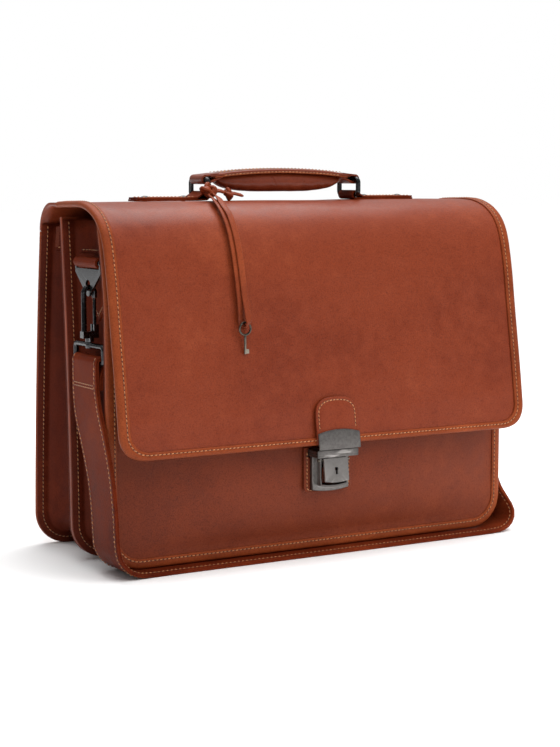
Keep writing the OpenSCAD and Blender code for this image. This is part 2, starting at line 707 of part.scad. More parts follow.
// Short strap from the right end loop down to the buckle's upper bar
module strap_short() color([0.55, 0.24, 0.12]) set() translate([0, buckle_y, 0])
    rotate([90, 0, 0]) difference() {
        linear_extrude(strap_w, center = true) difference() {
            union() {
                translate([buckle_x, buckle_z]) circle(buckle_r + run + 2.6);
                translate([strap_x - strap_t / 2, buckle_z]) square([strap_t, 25.6]);
            }
            translate([buckle_x, buckle_z]) circle(buckle_r + run);
        }
        // notch for the prong's hub
        translate([buckle_x - 8, buckle_z - 8, -2.8]) cube([16, 13.5, 5.6]);
    }

// Buckle on the right end of the strap
buckle_y = rig_y;
buckle_z = 127;
buckle_x = 204.6;
buckle_r = 1.9;
buckle_low = 98;

module buckle_frame() color([0.3, 0.29, 0.29]) set() {
    for (s = [-1, 1]) translate([buckle_x, buckle_y + s * 28, buckle_z]) {
        sphere(buckle_r);
        rotate([0, 180 - atan(4.6 / (buckle_z - buckle_low)), 0])
            cylinder(r = buckle_r, h = norm([4.6, buckle_z - buckle_low]));
        translate([4.6, 0, buckle_low - buckle_z]) sphere(buckle_r);
    }
    translate([buckle_x, buckle_y, buckle_z]) rotate([90, 0, 0])
        cylinder(r = buckle_r, h = 56, center = true);
    translate([buckle_x + 4.6, buckle_y, buckle_low]) rotate([90, 0, 0])
        cylinder(r = buckle_r, h = 56, center = true);
}

module buckle_prong() color([0.45, 0.44, 0.43]) set() {
    translate([buckle_x, buckle_y, buckle_z]) rotate([90, 0, 0]) difference() {
        cylinder(r = buckle_r + 1.5, h = 4.4, center = true);
        cylinder(r = buckle_r + run, h = 6, center = true);
    }
    // arm that lies on the outer side of the frame's lower bar
    translate([buckle_x + 3.1, buckle_y, buckle_z]) rotate([0, 171, 0])
        translate([0, 0, 0.6]) cylinder(r = 1.1, h = 31);
}

module strap_keeper() color([0.55, 0.24, 0.12]) set()
    translate([205.8, buckle_y, 145]) difference() {
        cube([15.8, strap_w + 4, 9], center = true);
        cube([13, strap_w + 1, 12], center = true);
    }

// ---- Lanyard with the key ----

lace_r = 1.7;
knot_x = -79;
knot_y = 49;
knot_z = 316.5;

// Knot round the front leg of the left ring
module lace_knot() color([0.6, 0.25, 0.12]) set() translate([knot_x, knot_y, knot_z]) sphere(6);

// Second knot in the lace's free end, and the end itself
module lace_tail_knot() color([0.6, 0.25, 0.12]) set() translate([knot_x + 18, knot_y - 3, 313]) {
    sphere(4.6);
    rotate([0, 96, -4]) cylinder(r = lace_r, h = 15);
}

// Route of the lace: forward over the top of the flap, down its front, through the key, and back
lace_mid = [
    [-77.2, 41.4, 312.6], [-79.6, 34, 311.4], [-82, 25, 310], [-83.6, 14.6, 304.5],
    [-84, 2.4, 296.4], [-84, -7.1, 282.8], [-83.6, -13.6, 265.4], [-83.1, -18, 245.3],
    [-82.4, -21.3, 227], [-82.3, -25.4, 215], [-82.6, -27.3, 207.5], [-84.2, -24.2, 204.4],
    [-85.7, -21.2, 207.5], [-85.9, -20.6, 215], [-86.2, -19.2, 227], [-86.9, -16.4, 245],
    [-87.4, -12, 265], [-87.7, -5.6, 282.2], [-87.6, 3.4, 294.8], [-86.6, 14, 302.8],
    [-85.4, 25, 308.2], [-83.2, 34, 309.8], [-81, 41.4, 311.4]];

function tube(p, r, n) = [for (i = [0:len(p) - 1]) let (
        d = unit(p[min(i + 1, len(p) - 1)] - p[max(i - 1, 0)]),
        across = unit([1, 0, 0] - d * d[0]),
        up = cross(d, across)
    ) [for (k = [0:n - 1]) p[i] + r * (across * cos(360 * k / n) + up * sin(360 * k / n))]];

module key_lace() color([0.6, 0.25, 0.12]) set() skin(tube(smooth(lace_mid, 2), lace_r, 8));

key_x = -84.2;
key_y = -24.2;
bow_r = 5.2;
bow_wire = 0.9;
bow_z = 202.7;

// Small flat key hanging by its bow
module key() color([0.5, 0.48, 0.45]) set() translate([key_x, key_y, bow_z]) rotate([90, 0, 0]) {
    rotate_extrude() translate([bow_r, 0]) circle(bow_wire, $fn = 16);
    translate([0, -bow_r, 0]) rotate([90, 0, 0]) cylinder(r = 1, h = 16);
    translate([0, -bow_r - 15.6, -0.6]) linear_extrude(1.2) square([3.4, 3.6]);
}

back_panel();
back_binding();
partition();
front_panel();
front_binding();
rear_gusset();
front_gusset();
rear_gusset_facing();
front_gusset_facing();
slip_pocket();
flap_hinge();
flap();
flap_binding();
flap_stiffener();
lock_tab();
hasp_plate();
hasp_tongue();
lock_patch();
lock_base();
lock_pin();
lock_spring();
lock_backplate();
lock_screws();
lock_button();
key_cam();
chape_left();
chape_right();
handle_rivets();
ring_left();
ring_right();
handle_strap();
handle_grip();
handle_core();
side_tab_left();
side_tab_right();
triangle_left();
triangle_right();
snap_hook_left();
snap_hook_right();
snap_gate_left();
snap_gate_right();
swivel_eye_left();
swivel_eye_right();
strap_end_left();
strap_end_right();
shoulder_strap();
strap_short();
buckle_frame();
buckle_prong();
strap_keeper();
key_lace();
lace_knot();
lace_tail_knot();
key();
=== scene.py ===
"""Looks of the leather briefcase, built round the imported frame.

Shapes are written in the bag's own millimetres, as the part's source has them: x from the bag's middle,
y from the front panel's foot, z from the floor. bag() turns them into metres in the row frame.
"""

import json
import math

import bpy
from mathutils import Matrix, Vector, noise


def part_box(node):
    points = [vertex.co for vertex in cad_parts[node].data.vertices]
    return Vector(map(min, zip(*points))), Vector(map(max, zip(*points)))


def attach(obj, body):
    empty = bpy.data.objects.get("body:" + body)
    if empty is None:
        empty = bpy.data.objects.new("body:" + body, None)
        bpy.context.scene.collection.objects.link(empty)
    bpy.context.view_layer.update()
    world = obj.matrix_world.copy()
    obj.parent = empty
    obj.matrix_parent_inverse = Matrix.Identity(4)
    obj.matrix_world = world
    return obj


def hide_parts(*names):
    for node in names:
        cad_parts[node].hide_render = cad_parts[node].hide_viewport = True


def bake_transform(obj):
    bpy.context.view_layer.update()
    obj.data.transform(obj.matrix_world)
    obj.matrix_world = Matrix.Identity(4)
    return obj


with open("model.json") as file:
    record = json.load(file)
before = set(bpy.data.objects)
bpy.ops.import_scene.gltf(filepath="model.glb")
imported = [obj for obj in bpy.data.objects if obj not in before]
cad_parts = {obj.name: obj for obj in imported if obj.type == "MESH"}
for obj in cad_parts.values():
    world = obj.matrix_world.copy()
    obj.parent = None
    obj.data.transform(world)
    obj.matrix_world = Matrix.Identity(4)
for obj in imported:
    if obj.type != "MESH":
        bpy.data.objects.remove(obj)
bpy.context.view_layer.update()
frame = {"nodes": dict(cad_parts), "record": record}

MM = 0.001
BODY_W = 400
BODY_H = 293
BASE_D = 155
CORNER_R = 30
HIDE = 3
SEAM_W = 8.5
SIDES = ((-1, "left"), (1, "right"))

back_low, back_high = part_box("back_panel")
SHIFT = Vector(((back_low.x + back_high.x) / 2, back_high.y - BASE_D * MM, 0))


def bag(point):
    """A point in the bag's millimetres as metres in the row frame."""
    return Vector(point) * MM + SHIFT


# ---- Materials ----
# leather(), metal() and suede() give a look: a material and the record's slot that it stands for.


def connect(tree, made, inputs):
    """Link each input that is given a socket, and set any other."""
    for key, value in inputs.items():
        if isinstance(value, bpy.types.NodeSocket):
            tree.links.new(value, made.inputs[key])
        else:
            made.inputs[key].default_value = value


def node(tree, kind, inputs=None, **settings):
    made = tree.nodes.new(kind)
    for key, value in settings.items():
        setattr(made, key, value)
    connect(tree, made, inputs or {})
    return made


def rgba(colour):
    return (*colour, 1)


def new_material(name):
    """A material, its tree, its shader and the object coordinates."""
    material = bpy.data.materials.new(name)
    material.use_nodes = True
    tree = material.node_tree
    return material, tree, tree.nodes["Principled BSDF"], node(tree, "ShaderNodeTexCoord").outputs["Object"]


def noise_node(tree, coords, scale, detail=4, rough=0.55, distortion=0.0):
    settings = {"Vector": coords, "Scale": scale, "Detail": detail, "Roughness": rough,
                "Distortion": distortion}
    return node(tree, "ShaderNodeTexNoise", settings).outputs["Fac"]


def ramp(tree, fac, stops):
    """Colour ramp with stops of (position, colour)."""
    made = node(tree, "ShaderNodeValToRGB", {"Fac": fac})
    made.color_ramp.interpolation = "EASE"
    elements = made.color_ramp.elements
    while len(elements) < len(stops):
        elements.new(0.5)
    for element, (position, colour) in zip(elements, stops):
        element.position = position
        element.color = rgba(colour)
    return made.outputs["Color"]


def spread(tree, value, low, high, to_low, to_high):
    ends = {"Value": value, "From Min": low, "From Max": high, "To Min": to_low, "To Max": to_high}
    return node(tree, "ShaderNodeMapRange", ends).outputs["Result"]


def mixed(tree, fac, a, b, blend="MIX"):
    return node(tree, "ShaderNodeMix", {0: fac, 6: a, 7: b}, data_type="RGBA", blend_type=blend).outputs[2]


def summed(tree, a, b, factor):
    """a + b * factor."""
    return node(tree, "ShaderNodeMath", {0: b, 1: factor, 2: a}, operation="MULTIPLY_ADD").outputs[0]


def bump(tree, height, strength, distance):
    made = node(tree, "ShaderNodeBump", {"Height": height, "Strength": strength, "Distance": distance})
    return made.outputs["Normal"]


def pointiness(tree):
    return node(tree, "ShaderNodeNewGeometry").outputs["Pointiness"]


def leather(name, dark, mid, light, gloss=0.42, grain=900, shine=0.16, edge=0.5):
    """Aniline leather: tonal clouds, fine pebbled grain, pores, creases and paler worn edges."""
    material, tree, shader, coords = new_material(name)
    clouds = noise_node(tree, coords, 7, 3, 0.6, 0.3)
    mottle = noise_node(tree, coords, 85, 5, 0.6)
    fine = noise_node(tree, coords, 900, 3, 0.6)
    colour = ramp(tree, summed(tree, clouds, mottle, 0.4), [(0.48, dark), (0.7, mid), (0.92, light)])
    specks = ramp(tree, fine, [(0.3, (0.72, 0.68, 0.66)), (0.55, (1, 1, 1)), (0.8, (1.16, 1.14, 1.12))])
    colour = mixed(tree, 1.0, colour, specks, "MULTIPLY")
    worn = spread(tree, pointiness(tree), 0.51, 0.6, 0, edge)
    colour = mixed(tree, worn, colour, rgba(tuple(min(1, c * 1.75 + 0.012) for c in light)))
    warp = node(tree, "ShaderNodeTexNoise", {"Vector": coords, "Scale": 260.0, "Detail": 2.0})
    shift = {0: warp.outputs["Color"], 1: (0.0012,) * 3, 2: coords}
    moved = node(tree, "ShaderNodeVectorMath", shift, operation="MULTIPLY_ADD")
    pebbles = {"Vector": moved.outputs[0], "Scale": grain, "Randomness": 0.9, "Smoothness": 0.35}
    cells = node(tree, "ShaderNodeTexVoronoi", pebbles, feature="SMOOTH_F1")
    creases = noise_node(tree, coords, 38, 6, 0.62, 0.8)
    height = summed(tree, cells.outputs["Distance"], fine, 0.35)
    connect(tree, shader, {
        "Base Color": colour,
        "Normal": bump(tree, summed(tree, height, creases, 1.6), 0.55, 0.00017),
        "Roughness": spread(tree, mottle, 0.3, 0.7, gloss - 0.06, gloss + 0.1),
        "Specular IOR Level": shine,
        "Coat Weight": 0.1 * shine,
        "Coat Roughness": 0.3,
    })
    return material, name


def metal(name, dark, mid, bright, gloss, brushed=0.0, edge=0.9):
    """Plated metal with mottled tarnish, painted shade in its recesses, bright worn edges and fine scratches.
    """
    material, tree, shader, coords = new_material(name)
    tarnish = noise_node(tree, coords, 420, 5, 0.65)
    colour = ramp(tree, tarnish, [(0.35, dark), (0.6, mid), (0.8, bright)])
    point = pointiness(tree)
    worn = spread(tree, point, 0.505, 0.56, 0, edge)
    colour = mixed(tree, worn, colour, rgba(tuple(min(1, c * 1.35) for c in bright)))
    # Painted shade: the colour darkens where the surface is concave, in its recesses.
    recess_shade = spread(tree, point, 0.42, 0.495, 0.75, 0)
    colour = mixed(tree, recess_shade, colour, rgba(tuple(c * 0.35 for c in dark)))
    scale = (1, 1, 14) if brushed else (1, 1, 1)
    stretch = node(tree, "ShaderNodeMapping", {"Vector": coords, "Scale": scale})
    scratches = noise_node(tree, stretch.outputs["Vector"], 700, 3, 0.6)
    connect(tree, shader, {
        "Base Color": colour,
        "Normal": bump(tree, summed(tree, scratches, tarnish, 0.6), 0.1 + brushed, 0.00006),
        "Roughness": spread(tree, tarnish, 0.3, 0.7, gloss - 0.06, gloss + 0.12),
        "Metallic": 1.0,
    })
    return material, name


def thread(name, colour):
    """Waxed thread with its twist."""
    material, tree, shader, coords = new_material(name)
    twist = noise_node(tree, coords, 2600, 2, 0.5)
    shade = noise_node(tree, coords, 160, 3, 0.5)
    connect(tree, shader, {
        "Base Color": ramp(tree, shade, [(0.35, tuple(c * 0.62 for c in colour)), (0.65, colour)]),
        "Normal": bump(tree, twist, 0.6, 0.0001),
        "Roughness": 0.6,
        "Sheen Weight": 0.2,
    })
    return material


def suede(name, dark, light):
    """Napped lining."""
    material, tree, shader, coords = new_material(name)
    nap = noise_node(tree, coords, 1500, 4, 0.7)
    patches = noise_node(tree, coords, 30, 3, 0.5)
    connect(tree, shader, {
        "Base Color": ramp(tree, summed(tree, patches, nap, 0.5), [(0.5, dark), (1.0, light)]),
        "Normal": bump(tree, nap, 0.5, 0.0002),
        "Roughness": 0.9,
        "Specular IOR Level": 0.1,
        "Sheen Weight": 0.04,
    })
    return material, name


HIDE_LOOK = leather(
    "hide", (0.135, 0.024, 0.0085), (0.168, 0.031, 0.011), (0.205, 0.04, 0.0142), 0.44, 900, 0.14)
FLAP_LOOK = leather(
    "flap_hide", (0.16, 0.0245, 0.0076), (0.198, 0.0325, 0.01), (0.24, 0.044, 0.0138), 0.36, 900, 0.25)
GUSSET_LOOK = leather(
    "gusset_hide", (0.055, 0.008, 0.0035), (0.09, 0.0135, 0.0055), (0.135, 0.022, 0.008), 0.42, 900, 0.05)
EDGE_LOOK = leather(
    "edge_hide", (0.17, 0.031, 0.0085), (0.23, 0.045, 0.012), (0.3, 0.064, 0.018), 0.42, 1100, 0.14)
STRAP_LOOK = leather(
    "strap_hide", (0.085, 0.012, 0.0045), (0.135, 0.02, 0.0065), (0.19, 0.032, 0.01), 0.36, 800, 0.02, 0.25)
HANDLE_LOOK = (leather(
    "handle_hide", (0.1, 0.0145, 0.005), (0.15, 0.024, 0.0075), (0.21, 0.038, 0.012), 0.32, 1000, 0.35)[0],
    "strap_hide")
LACE_LOOK = leather(
    "lace_hide", (0.14, 0.023, 0.007), (0.19, 0.033, 0.01), (0.26, 0.05, 0.015), 0.4, 1200, 0.2)
LINING_LOOK = suede("lining", (0.075, 0.032, 0.014), (0.11, 0.05, 0.023))
CANVAS_LOOK = suede("padding", (0.55, 0.48, 0.36), (0.8, 0.74, 0.62))
LOCK_LOOK = metal("lock_metal", (0.17, 0.157, 0.149), (0.225, 0.21, 0.2), (0.3, 0.282, 0.27), 0.44, 0.06)
RIG_LOOK = metal("rig_metal", (0.024, 0.024, 0.026), (0.045, 0.045, 0.047), (0.095, 0.095, 0.097), 0.2)
STEEL_LOOK = metal("steel", (0.05, 0.042, 0.034), (0.1, 0.086, 0.07), (0.24, 0.21, 0.17), 0.32)
THREAD_MAT = thread("thread", (0.56, 0.235, 0.085))
# Dark discs at the stitch holes: painted shade where the thread dives into the leather.
HOLE_SHADE_MAT = thread("stitch_hole_shade", (0.06, 0.012, 0.006))

# ---- Mesh tools ----


def piece(name, form, look, body, replaces=(), bevel=0.0, segments=3):
    """A mesh of (points, faces) in the bag's millimetres. One with no body is left unattached, and the caller
    bakes its transform.
    """
    mesh = bpy.data.meshes.new(name)
    mesh.from_pydata([bag(p) for p in form[0]], [], form[1])
    mesh.validate()
    mesh.update()
    mesh.polygons.foreach_set("use_smooth", [True] * len(mesh.polygons))
    mesh.materials.append(look[0])
    made = bpy.data.objects.new(name, mesh)
    bpy.context.scene.collection.objects.link(made)
    if bevel:
        rounding = made.modifiers.new("rounded_edges", "BEVEL")
        rounding.width = bevel * MM
        rounding.segments = segments
        rounding.limit_method = "ANGLE"
        rounding.angle_limit = math.radians(40)
        made.modifiers.new("even_shading", "WEIGHTED_NORMAL").keep_sharp = True
    if body:
        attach(made, body)
    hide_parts(*replaces)
    return made


def grid_faces(rows, columns, start=0, flip=False, wrap=False):
    """Quads of a grid of rows by columns, wrapped round in columns if asked."""
    faces = []
    for i in range(rows - 1):
        a, b = start + i * columns, start + (i + 1) * columns
        for j in range(columns if wrap else columns - 1):
            k = (j + 1) % columns
            quad = [a + j, a + k, b + k, b + j]
            faces.append(quad[::-1] if flip else quad)
    return faces


def slab(front, back):
    """Points and faces of a closed slab between two grids, each a list of equal rows."""
    rows, columns = len(front), len(front[0])
    points = [p for row in front + back for p in row]
    size = rows * columns
    faces = grid_faces(rows, columns) + grid_faces(rows, columns, size, True)
    rim = list(range(columns))
    rim += [i * columns + columns - 1 for i in range(1, rows)]
    rim += [(rows - 1) * columns + j for j in range(columns - 2, -1, -1)]
    rim += [i * columns for i in range(rows - 2, 0, -1)]
    for a, b in zip(rim, rim[1:] + rim[:1]):
        faces.append([b, a, a + size, b + size])
    return points, faces


def thick(rows, depth, raised=0.0):
    """A slab from one grid of middle points, given its thickness and how far its middle is raised."""
    grid = [[Vector(p) for p in row] for row in rows]
    front, back = [], []
    last_i, last_j = len(grid) - 1, len(grid[0]) - 1
    for i, row in enumerate(grid):
        out, inner = [], []
        for j, p in enumerate(row):
            down = grid[min(i + 1, last_i)][j] - grid[max(i - 1, 0)][j]
            over = row[min(j + 1, last_j)] - row[max(j - 1, 0)]
            normal = over.cross(down).normalized()
            out.append(p + normal * (raised + depth / 2))
            inner.append(p + normal * (raised - depth / 2))
        front.append(inner)
        back.append(out)
    return slab(front, back)


def skinned(rings):
    """Points and faces of a closed tube through rings of points."""
    count = len(rings[0])
    points = [p for ring in rings for p in ring]
    faces = grid_faces(len(rings), count, 0, True, wrap=True)
    faces += [list(range(count)), [len(points) - 1 - k for k in range(count)]]
    return points, faces


def spline(a, b, c, d, t):
    """Point at share t between b and c of a smooth line through four points."""
    return 0.5 * (2 * b + (c - a) * t + (2 * a - 5 * b + 4 * c - d) * t * t + (3 * b - a - 3 * c + d) * t**3)


def catmull(points, steps):
    """Smooth line through given points."""
    pts = [Vector(p) for p in points]
    line = []
    for i in range(len(pts) - 1):
        four = pts[max(i - 1, 0)], pts[i], pts[i + 1], pts[min(i + 2, len(pts) - 1)]
        line += [spline(*four, k / steps) for k in range(steps)]
    return line + [pts[-1]]


def heading(line, i):
    """Direction of a line of vectors at one of its points."""
    return (line[min(i + 1, len(line) - 1)] - line[max(i - 1, 0)]).normalized()


def arc(x, z, r, start, end, steps):
    """Points of an arc in a side view, with angles in degrees."""
    turns = [math.radians(start + (end - start) * k / steps) for k in range(steps + 1)]
    return [(x + r * math.cos(a), z + r * math.sin(a)) for a in turns]


def divided(line, pitch=None, count=6):
    """Flat points added between a line's corners, about pitch apart or a count to each side."""
    out = []
    for a, b in zip(line, line[1:]):
        steps = max(1, int(math.dist(a, b) / pitch)) if pitch else count
        out += [(a[0] + (b[0] - a[0]) * k / steps, a[1] + (b[1] - a[1]) * k / steps) for k in range(steps)]
    return out


def walk(line, pitch, margin=0.0):
    """Evenly spaced (point, direction, share) along a polyline, about pitch apart."""
    line = [Vector(p) for p in line]
    runs = [0.0]
    for a, b in zip(line, line[1:]):
        runs.append(runs[-1] + (b - a).length)
    total = runs[-1] - 2 * margin
    count = max(1, round(total / pitch))
    places, i = [], 0
    for k in range(count):
        want = margin + total * (k + 0.5) / count
        while runs[i + 1] < want and i < len(line) - 2:
            i += 1
        f = (want - runs[i]) / max(1e-9, runs[i + 1] - runs[i])
        places.append((line[i].lerp(line[i + 1], f), (line[i + 1] - line[i]).normalized(), i + f))
    return places


STITCH_PITCH = 3.8
FINE_PITCH = 3.6
PATCH_PITCH = 3.4
STITCH_LONG = 1.12
STITCH_R = 0.42
HOLE_LONG = 0.72
HOLE_WIDE = 0.6


def one_stitch(centre, lean, up):
    """Points of a stitch that dives into the leather at both ends."""
    over = up.cross(lean)
    points = []
    for u in (-1, -0.75, -0.3, 0.3, 0.75, 1):
        lift = STITCH_R * (0.75 * math.cos(u * 1.5) + 0.05)
        r = STITCH_R * (0.45 + 0.55 * math.cos(u * 1.35))
        mid = centre + lean * (u * STITCH_LONG) + up * lift
        for k in range(6):
            a = math.tau * k / 6
            points.append(mid + over * (r * math.cos(a)) + up * (r * 0.85 * math.sin(a)))
    return points


def stitches(name, lines, body, slot, pitch=STITCH_PITCH):
    """Rows of saddle stitches, with a dark disc of painted shade at each of their holes. A line is (points,
    normals) or (points, one normal).
    """
    points, faces, hole_shade_points, hole_shade_faces = [], [], [], []
    for number, (line, normals) in enumerate(lines):
        single = isinstance(normals, (Vector, tuple))
        for count, (centre, ahead, where) in enumerate(walk(line, pitch, 1.0)):
            up = Vector(normals) if single else normals[min(int(where), len(normals) - 1)]
            up = (up - ahead * up.dot(ahead)).normalized()
            over = up.cross(ahead)
            jitter = noise.noise(Vector((count * 0.7, number * 3.1, 0.5)))
            start = len(points)
            points += one_stitch(centre, (ahead + over * (0.16 + 0.1 * jitter)).normalized(), up)
            faces += grid_faces(6, 6, start, False, wrap=True)
            faces += [[start + k for k in range(6)], [start + 30 + k for k in range(5, -1, -1)]]
            # Painted shade: a dark disc lies where the thread dives into its hole.
            hole = centre + ahead * (pitch / 2) + up * 0.07
            begin = len(hole_shade_points)
            hole_shade_points.append(hole + up * 0.05)
            for k in range(8):
                a = math.tau * k / 8
                rim = ahead * (HOLE_LONG * math.cos(a)) + over * (HOLE_WIDE * math.sin(a))
                hole_shade_points.append(hole + rim - up * 0.04)
            hole_shade_faces += [[begin, begin + 1 + k, begin + 1 + (k + 1) % 8] for k in range(8)]
    piece(f"{name}_stitches", (points, faces), (THREAD_MAT, slot), body)
    piece(f"{name}_hole_shades", (hole_shade_points, hole_shade_faces), (HOLE_SHADE_MAT, slot), body)


ALONG_Y = (0, 1, 0)
RIBBON_OUTLINE = [
    (-1, -0.35, 0), (-1, -0.75, 0), (-0.6, -1, 0.7), (0, -1, 3), (0.6, -1, 0.7), (1, -0.75, 0),
    (1, -0.35, 0), (1, 0, -1), (1, 0.35, 0), (1, 0.75, 0), (0.6, 1, 0.7), (0, 1, 3), (-0.6, 1, 0.7),
    (-1, 0.75, 0), (-1, 0.35, 0), (-1, 0, -1)]


def ribbon(name, line, width, depth, look, body, replaces=(), across=ALONG_Y, layered=True, widths=None):
    """A strap along a line, across a fixed direction, with rounded edges and a seam between its layers."""
    line = [Vector(p) for p in line]
    across = Vector(across).normalized()
    half, low = width / 2, depth / 2
    groove = min(0.35, depth / 6) if layered else 0.0
    rings = []
    for i, p in enumerate(line):
        ahead = heading(line, i)
        side = (across - ahead * across.dot(ahead)).normalized()
        up = ahead.cross(side)
        reach = half * (widths[i] if widths else 1)
        outs = {3: 0.0, 0.7: reach - 0.45 * low, 0: reach, -1: reach - groove}
        ring = []
        for sx, sz, kind in RIBBON_OUTLINE:
            ring.append(p + side * math.copysign(outs[kind], sx) + up * (sz * low))
        rings.append(ring)
    return piece(name, skinned(rings), look, body, replaces, bevel=min(0.35, depth / 8), segments=2)


def tube(name, line, r, look, body, sides=8):
    """Round cord along a line."""
    line = [Vector(p) for p in line]
    rings = []
    side = Vector((1, 0, 0))
    for i, p in enumerate(line):
        ahead = heading(line, i)
        side = (side - ahead * side.dot(ahead)).normalized()
        up = ahead.cross(side)
        turns = [math.tau * k / sides for k in range(sides)]
        rings.append([p + r * (side * math.cos(a) + up * math.sin(a)) for a in turns])
    piece(name, skinned(rings), look, body)


# ---- Camera, light and floor ----


def make_world():
    """White surroundings, bright behind and above the bag and dimmer in front of it for what lights it."""
    world = bpy.data.worlds.new("world")
    world.use_nodes = True
    tree = world.node_tree
    direction = node(tree, "ShaderNodeTexCoord").outputs["Generated"]
    toward = {0: direction, 1: (0.35, 0.25, 0.9)}
    behind = node(tree, "ShaderNodeVectorMath", toward, operation="DOT_PRODUCT").outputs["Value"]
    light = spread(tree, behind, -0.3, 0.9, 0.16, 0.55)
    seen = node(tree, "ShaderNodeLightPath").outputs["Is Camera Ray"]
    connect(tree, tree.nodes["Background"], {"Color": mixed(tree, seen, light, (1, 1, 1, 1))})
    bpy.context.scene.world = world


def add_light(name, kind, direction, watts):
    """A lamp that shines in a direction."""
    light = bpy.data.objects.new(name, bpy.data.lights.new(name, kind))
    light.data.energy = watts
    light.rotation_euler = direction.to_track_quat("-Z", "Y").to_euler()
    bpy.context.scene.collection.objects.link(light)
    return light


def look():
    """Camera at the fitted viewpoint, soft studio light, pale floor and white surroundings."""
    camera = bpy.data.objects.new("camera", bpy.data.cameras.new("camera"))
    camera.data.lens = 84.9
    camera.data.clip_end = 30
    camera.location = bag((-798, -1295.5, 332.6))
    camera.rotation_euler = (math.radians(83.45), 0, math.radians(-30.45))
    bpy.context.scene.collection.objects.link(camera)
    bpy.context.scene.camera = camera
    target = bag((0, 70, 160))
    for name, place, size, watts in (
        ("overhead", (0.1, 0.35, 1.3), 1.1, 11),
        ("front", (0.9, -1.5, 0.9), 0.8, 9),
    ):
        lamp = add_light(name, "AREA", target - Vector(place), watts)
        lamp.data.size = size
        lamp.location = place
        lamp.visible_glossy = name == "overhead"
    sun = add_light("sun", "SUN", Vector((-0.1, 0.45, -1)), 2.3)
    sun.data.angle = math.radians(70)
    sun.visible_glossy = False
    make_world()
    bpy.context.scene.view_settings.view_transform = "Standard"
    mesh = bpy.data.meshes.new("floor")
    reach = 12
    corners = [(-reach, -reach, 0), (reach, -reach, 0), (reach, reach, 0), (-reach, reach, 0)]
    mesh.from_pydata(corners, [], [[0, 1, 2, 3]])
    paper, tree, shader, _ = new_material("floor")
    connect(tree, shader, {"Base Color": (1, 1, 1, 1), "Roughness": 0.9})
    mesh.materials.append(paper)
    floor = bpy.data.objects.new("floor", mesh)
    bpy.context.scene.collection.objects.link(floor)


look()

# ---- Side view of the panels ----

FRONT_FOOT = 4.4
PARTITION_FOOT = 2
BACK_TOP = 280.7


def front_edge(z):
    return 14 * ((z - 200) / (BODY_H - 200)) ** 2 if z > 200 else 0.0


def bulge_up(z):
    if z < 75:
        return math.sin(math.pi / 2 * max(0, z - 18) / 57)
    return 1.0 if z < 100 else math.cos(math.pi / 2 * (z - 100) / (BODY_H + 2 - 100))


def front_out(x, z):
    across = 1 - min(1, abs(x) / (BODY_W / 2 - 10)) ** 2.4
    return front_edge(z) - 17 * bulge_up(z) * across


def partition_mid(z):
    return 74 + 14 * (z / BODY_H) ** 2


def back_out(z):
    share = z / 281
    return BASE_D - 21 * (0.36 * share + 0.64 * share * share)


def half_width(up):
    if up >= CORNER_R:
        return BODY_W / 2
    return BODY_W / 2 - CORNER_R + math.sqrt(max(0, CORNER_R**2 - (CORNER_R - up) ** 2))


def ripple(x, z, size, depth, seed=0.0):
    """Soft unevenness of worked leather."""
    return depth * noise.noise(Vector((x / size, z / size, seed)))


def panel(name, foot, top, face_a, face_b, grid, bevel=1.0):
    """A panel with round bottom corners between two faces, as functions of x and z."""
    heights = [foot + CORNER_R * (1 - math.cos(math.radians(a))) for a in range(0, 90, 9)]
    heights += [foot + CORNER_R + (top - foot - CORNER_R) * k / grid for k in range(grid + 1)]
    front, back = [], []
    for z in heights:
        h = half_width(z - foot)
        xs = [-h] + [(h - SEAM_W - 1.5) * (2 * i / grid - 1) for i in range(grid + 1)] + [h]
        front.append([(x, face_a(x, z), z) for x in xs])
        back.append([(x, face_b(x, z), z) for x in xs])
    piece(f"{name}_leather", slab(front, back), HIDE_LOOK, "case", (name,), bevel)


def make_panels():
    panel("back_panel", 0, BACK_TOP,
          lambda x, z: back_out(z) - HIDE,
          lambda x, z: back_out(z) + ripple(x, z, 60, 0.5, 3), 24)
    panel("partition", PARTITION_FOOT, 294,
          lambda x, z: partition_mid(z) - 2 + ripple(x, z, 50, 0.3, 5),
          lambda x, z: partition_mid(z) + 2 + ripple(x, z, 50, 0.3, 6), 24, 1.6)
    panel("front_panel", FRONT_FOOT, BODY_H,
          lambda x, z: front_out(x, z) + ripple(x, z, 70, 0.9, 1) * (1 - min(1, abs(x) / 190) ** 4),
          lambda x, z: front_out(x, z) + HIDE, 40)
    rows = []
    for k in range(9):
        z = 60 + 170 * k / 8
        y = partition_mid(z) + 3.05
        rows.append([(-150 + 300 * j / 20, y + ripple(j, k, 3, 0.25), z) for j in range(21)])
    piece("slip_pocket_lining", thick(rows, 1.4), LINING_LOOK, "case", ("slip_pocket",), 0.4)
    edge = [(-147, z) for z in range(228, 62, -6)] + [(x, 63) for x in range(-147, 148, 6)]
    edge += [(147, z) for z in range(66, 229, 6)]
    line = [(x, partition_mid(z) + 3.9, z) for x, z in edge]
    stitches("slip_pocket", [(line, (0, 1, 0))], "case", "lining")


# ---- U-shaped strips ----


def rim_stations(sides=26, turns=12, flats=30):
    """(middle x, share of the height, angle) down the left side, along the bottom, up the right side."""
    flat = BODY_W / 2 - CORNER_R
    out = [(-flat, k / sides, 180.0) for k in range(sides, 0, -1)]
    out += [(-flat, 0.0, 180 + 90 * k / turns) for k in range(turns + 1)]
    out += [(-flat + 2 * flat * k / flats, 0.0, 270.0) for k in range(1, flats)]
    out += [(flat, 0.0, 270 + 90 * k / turns) for k in range(turns + 1)]
    return out + [(flat, k / sides, 0.0) for k in range(1, sides + 1)]


def rim_at(station, inset, foot, top):
    """(x, z) at a distance in from the rim of a panel that stands at foot and ends at top."""
    middle, share, angle = station
    a = math.radians(angle)
    r = CORNER_R - inset
    return (middle + r * math.cos(a), foot + CORNER_R + share * (top - foot - CORNER_R) + r * math.sin(a))


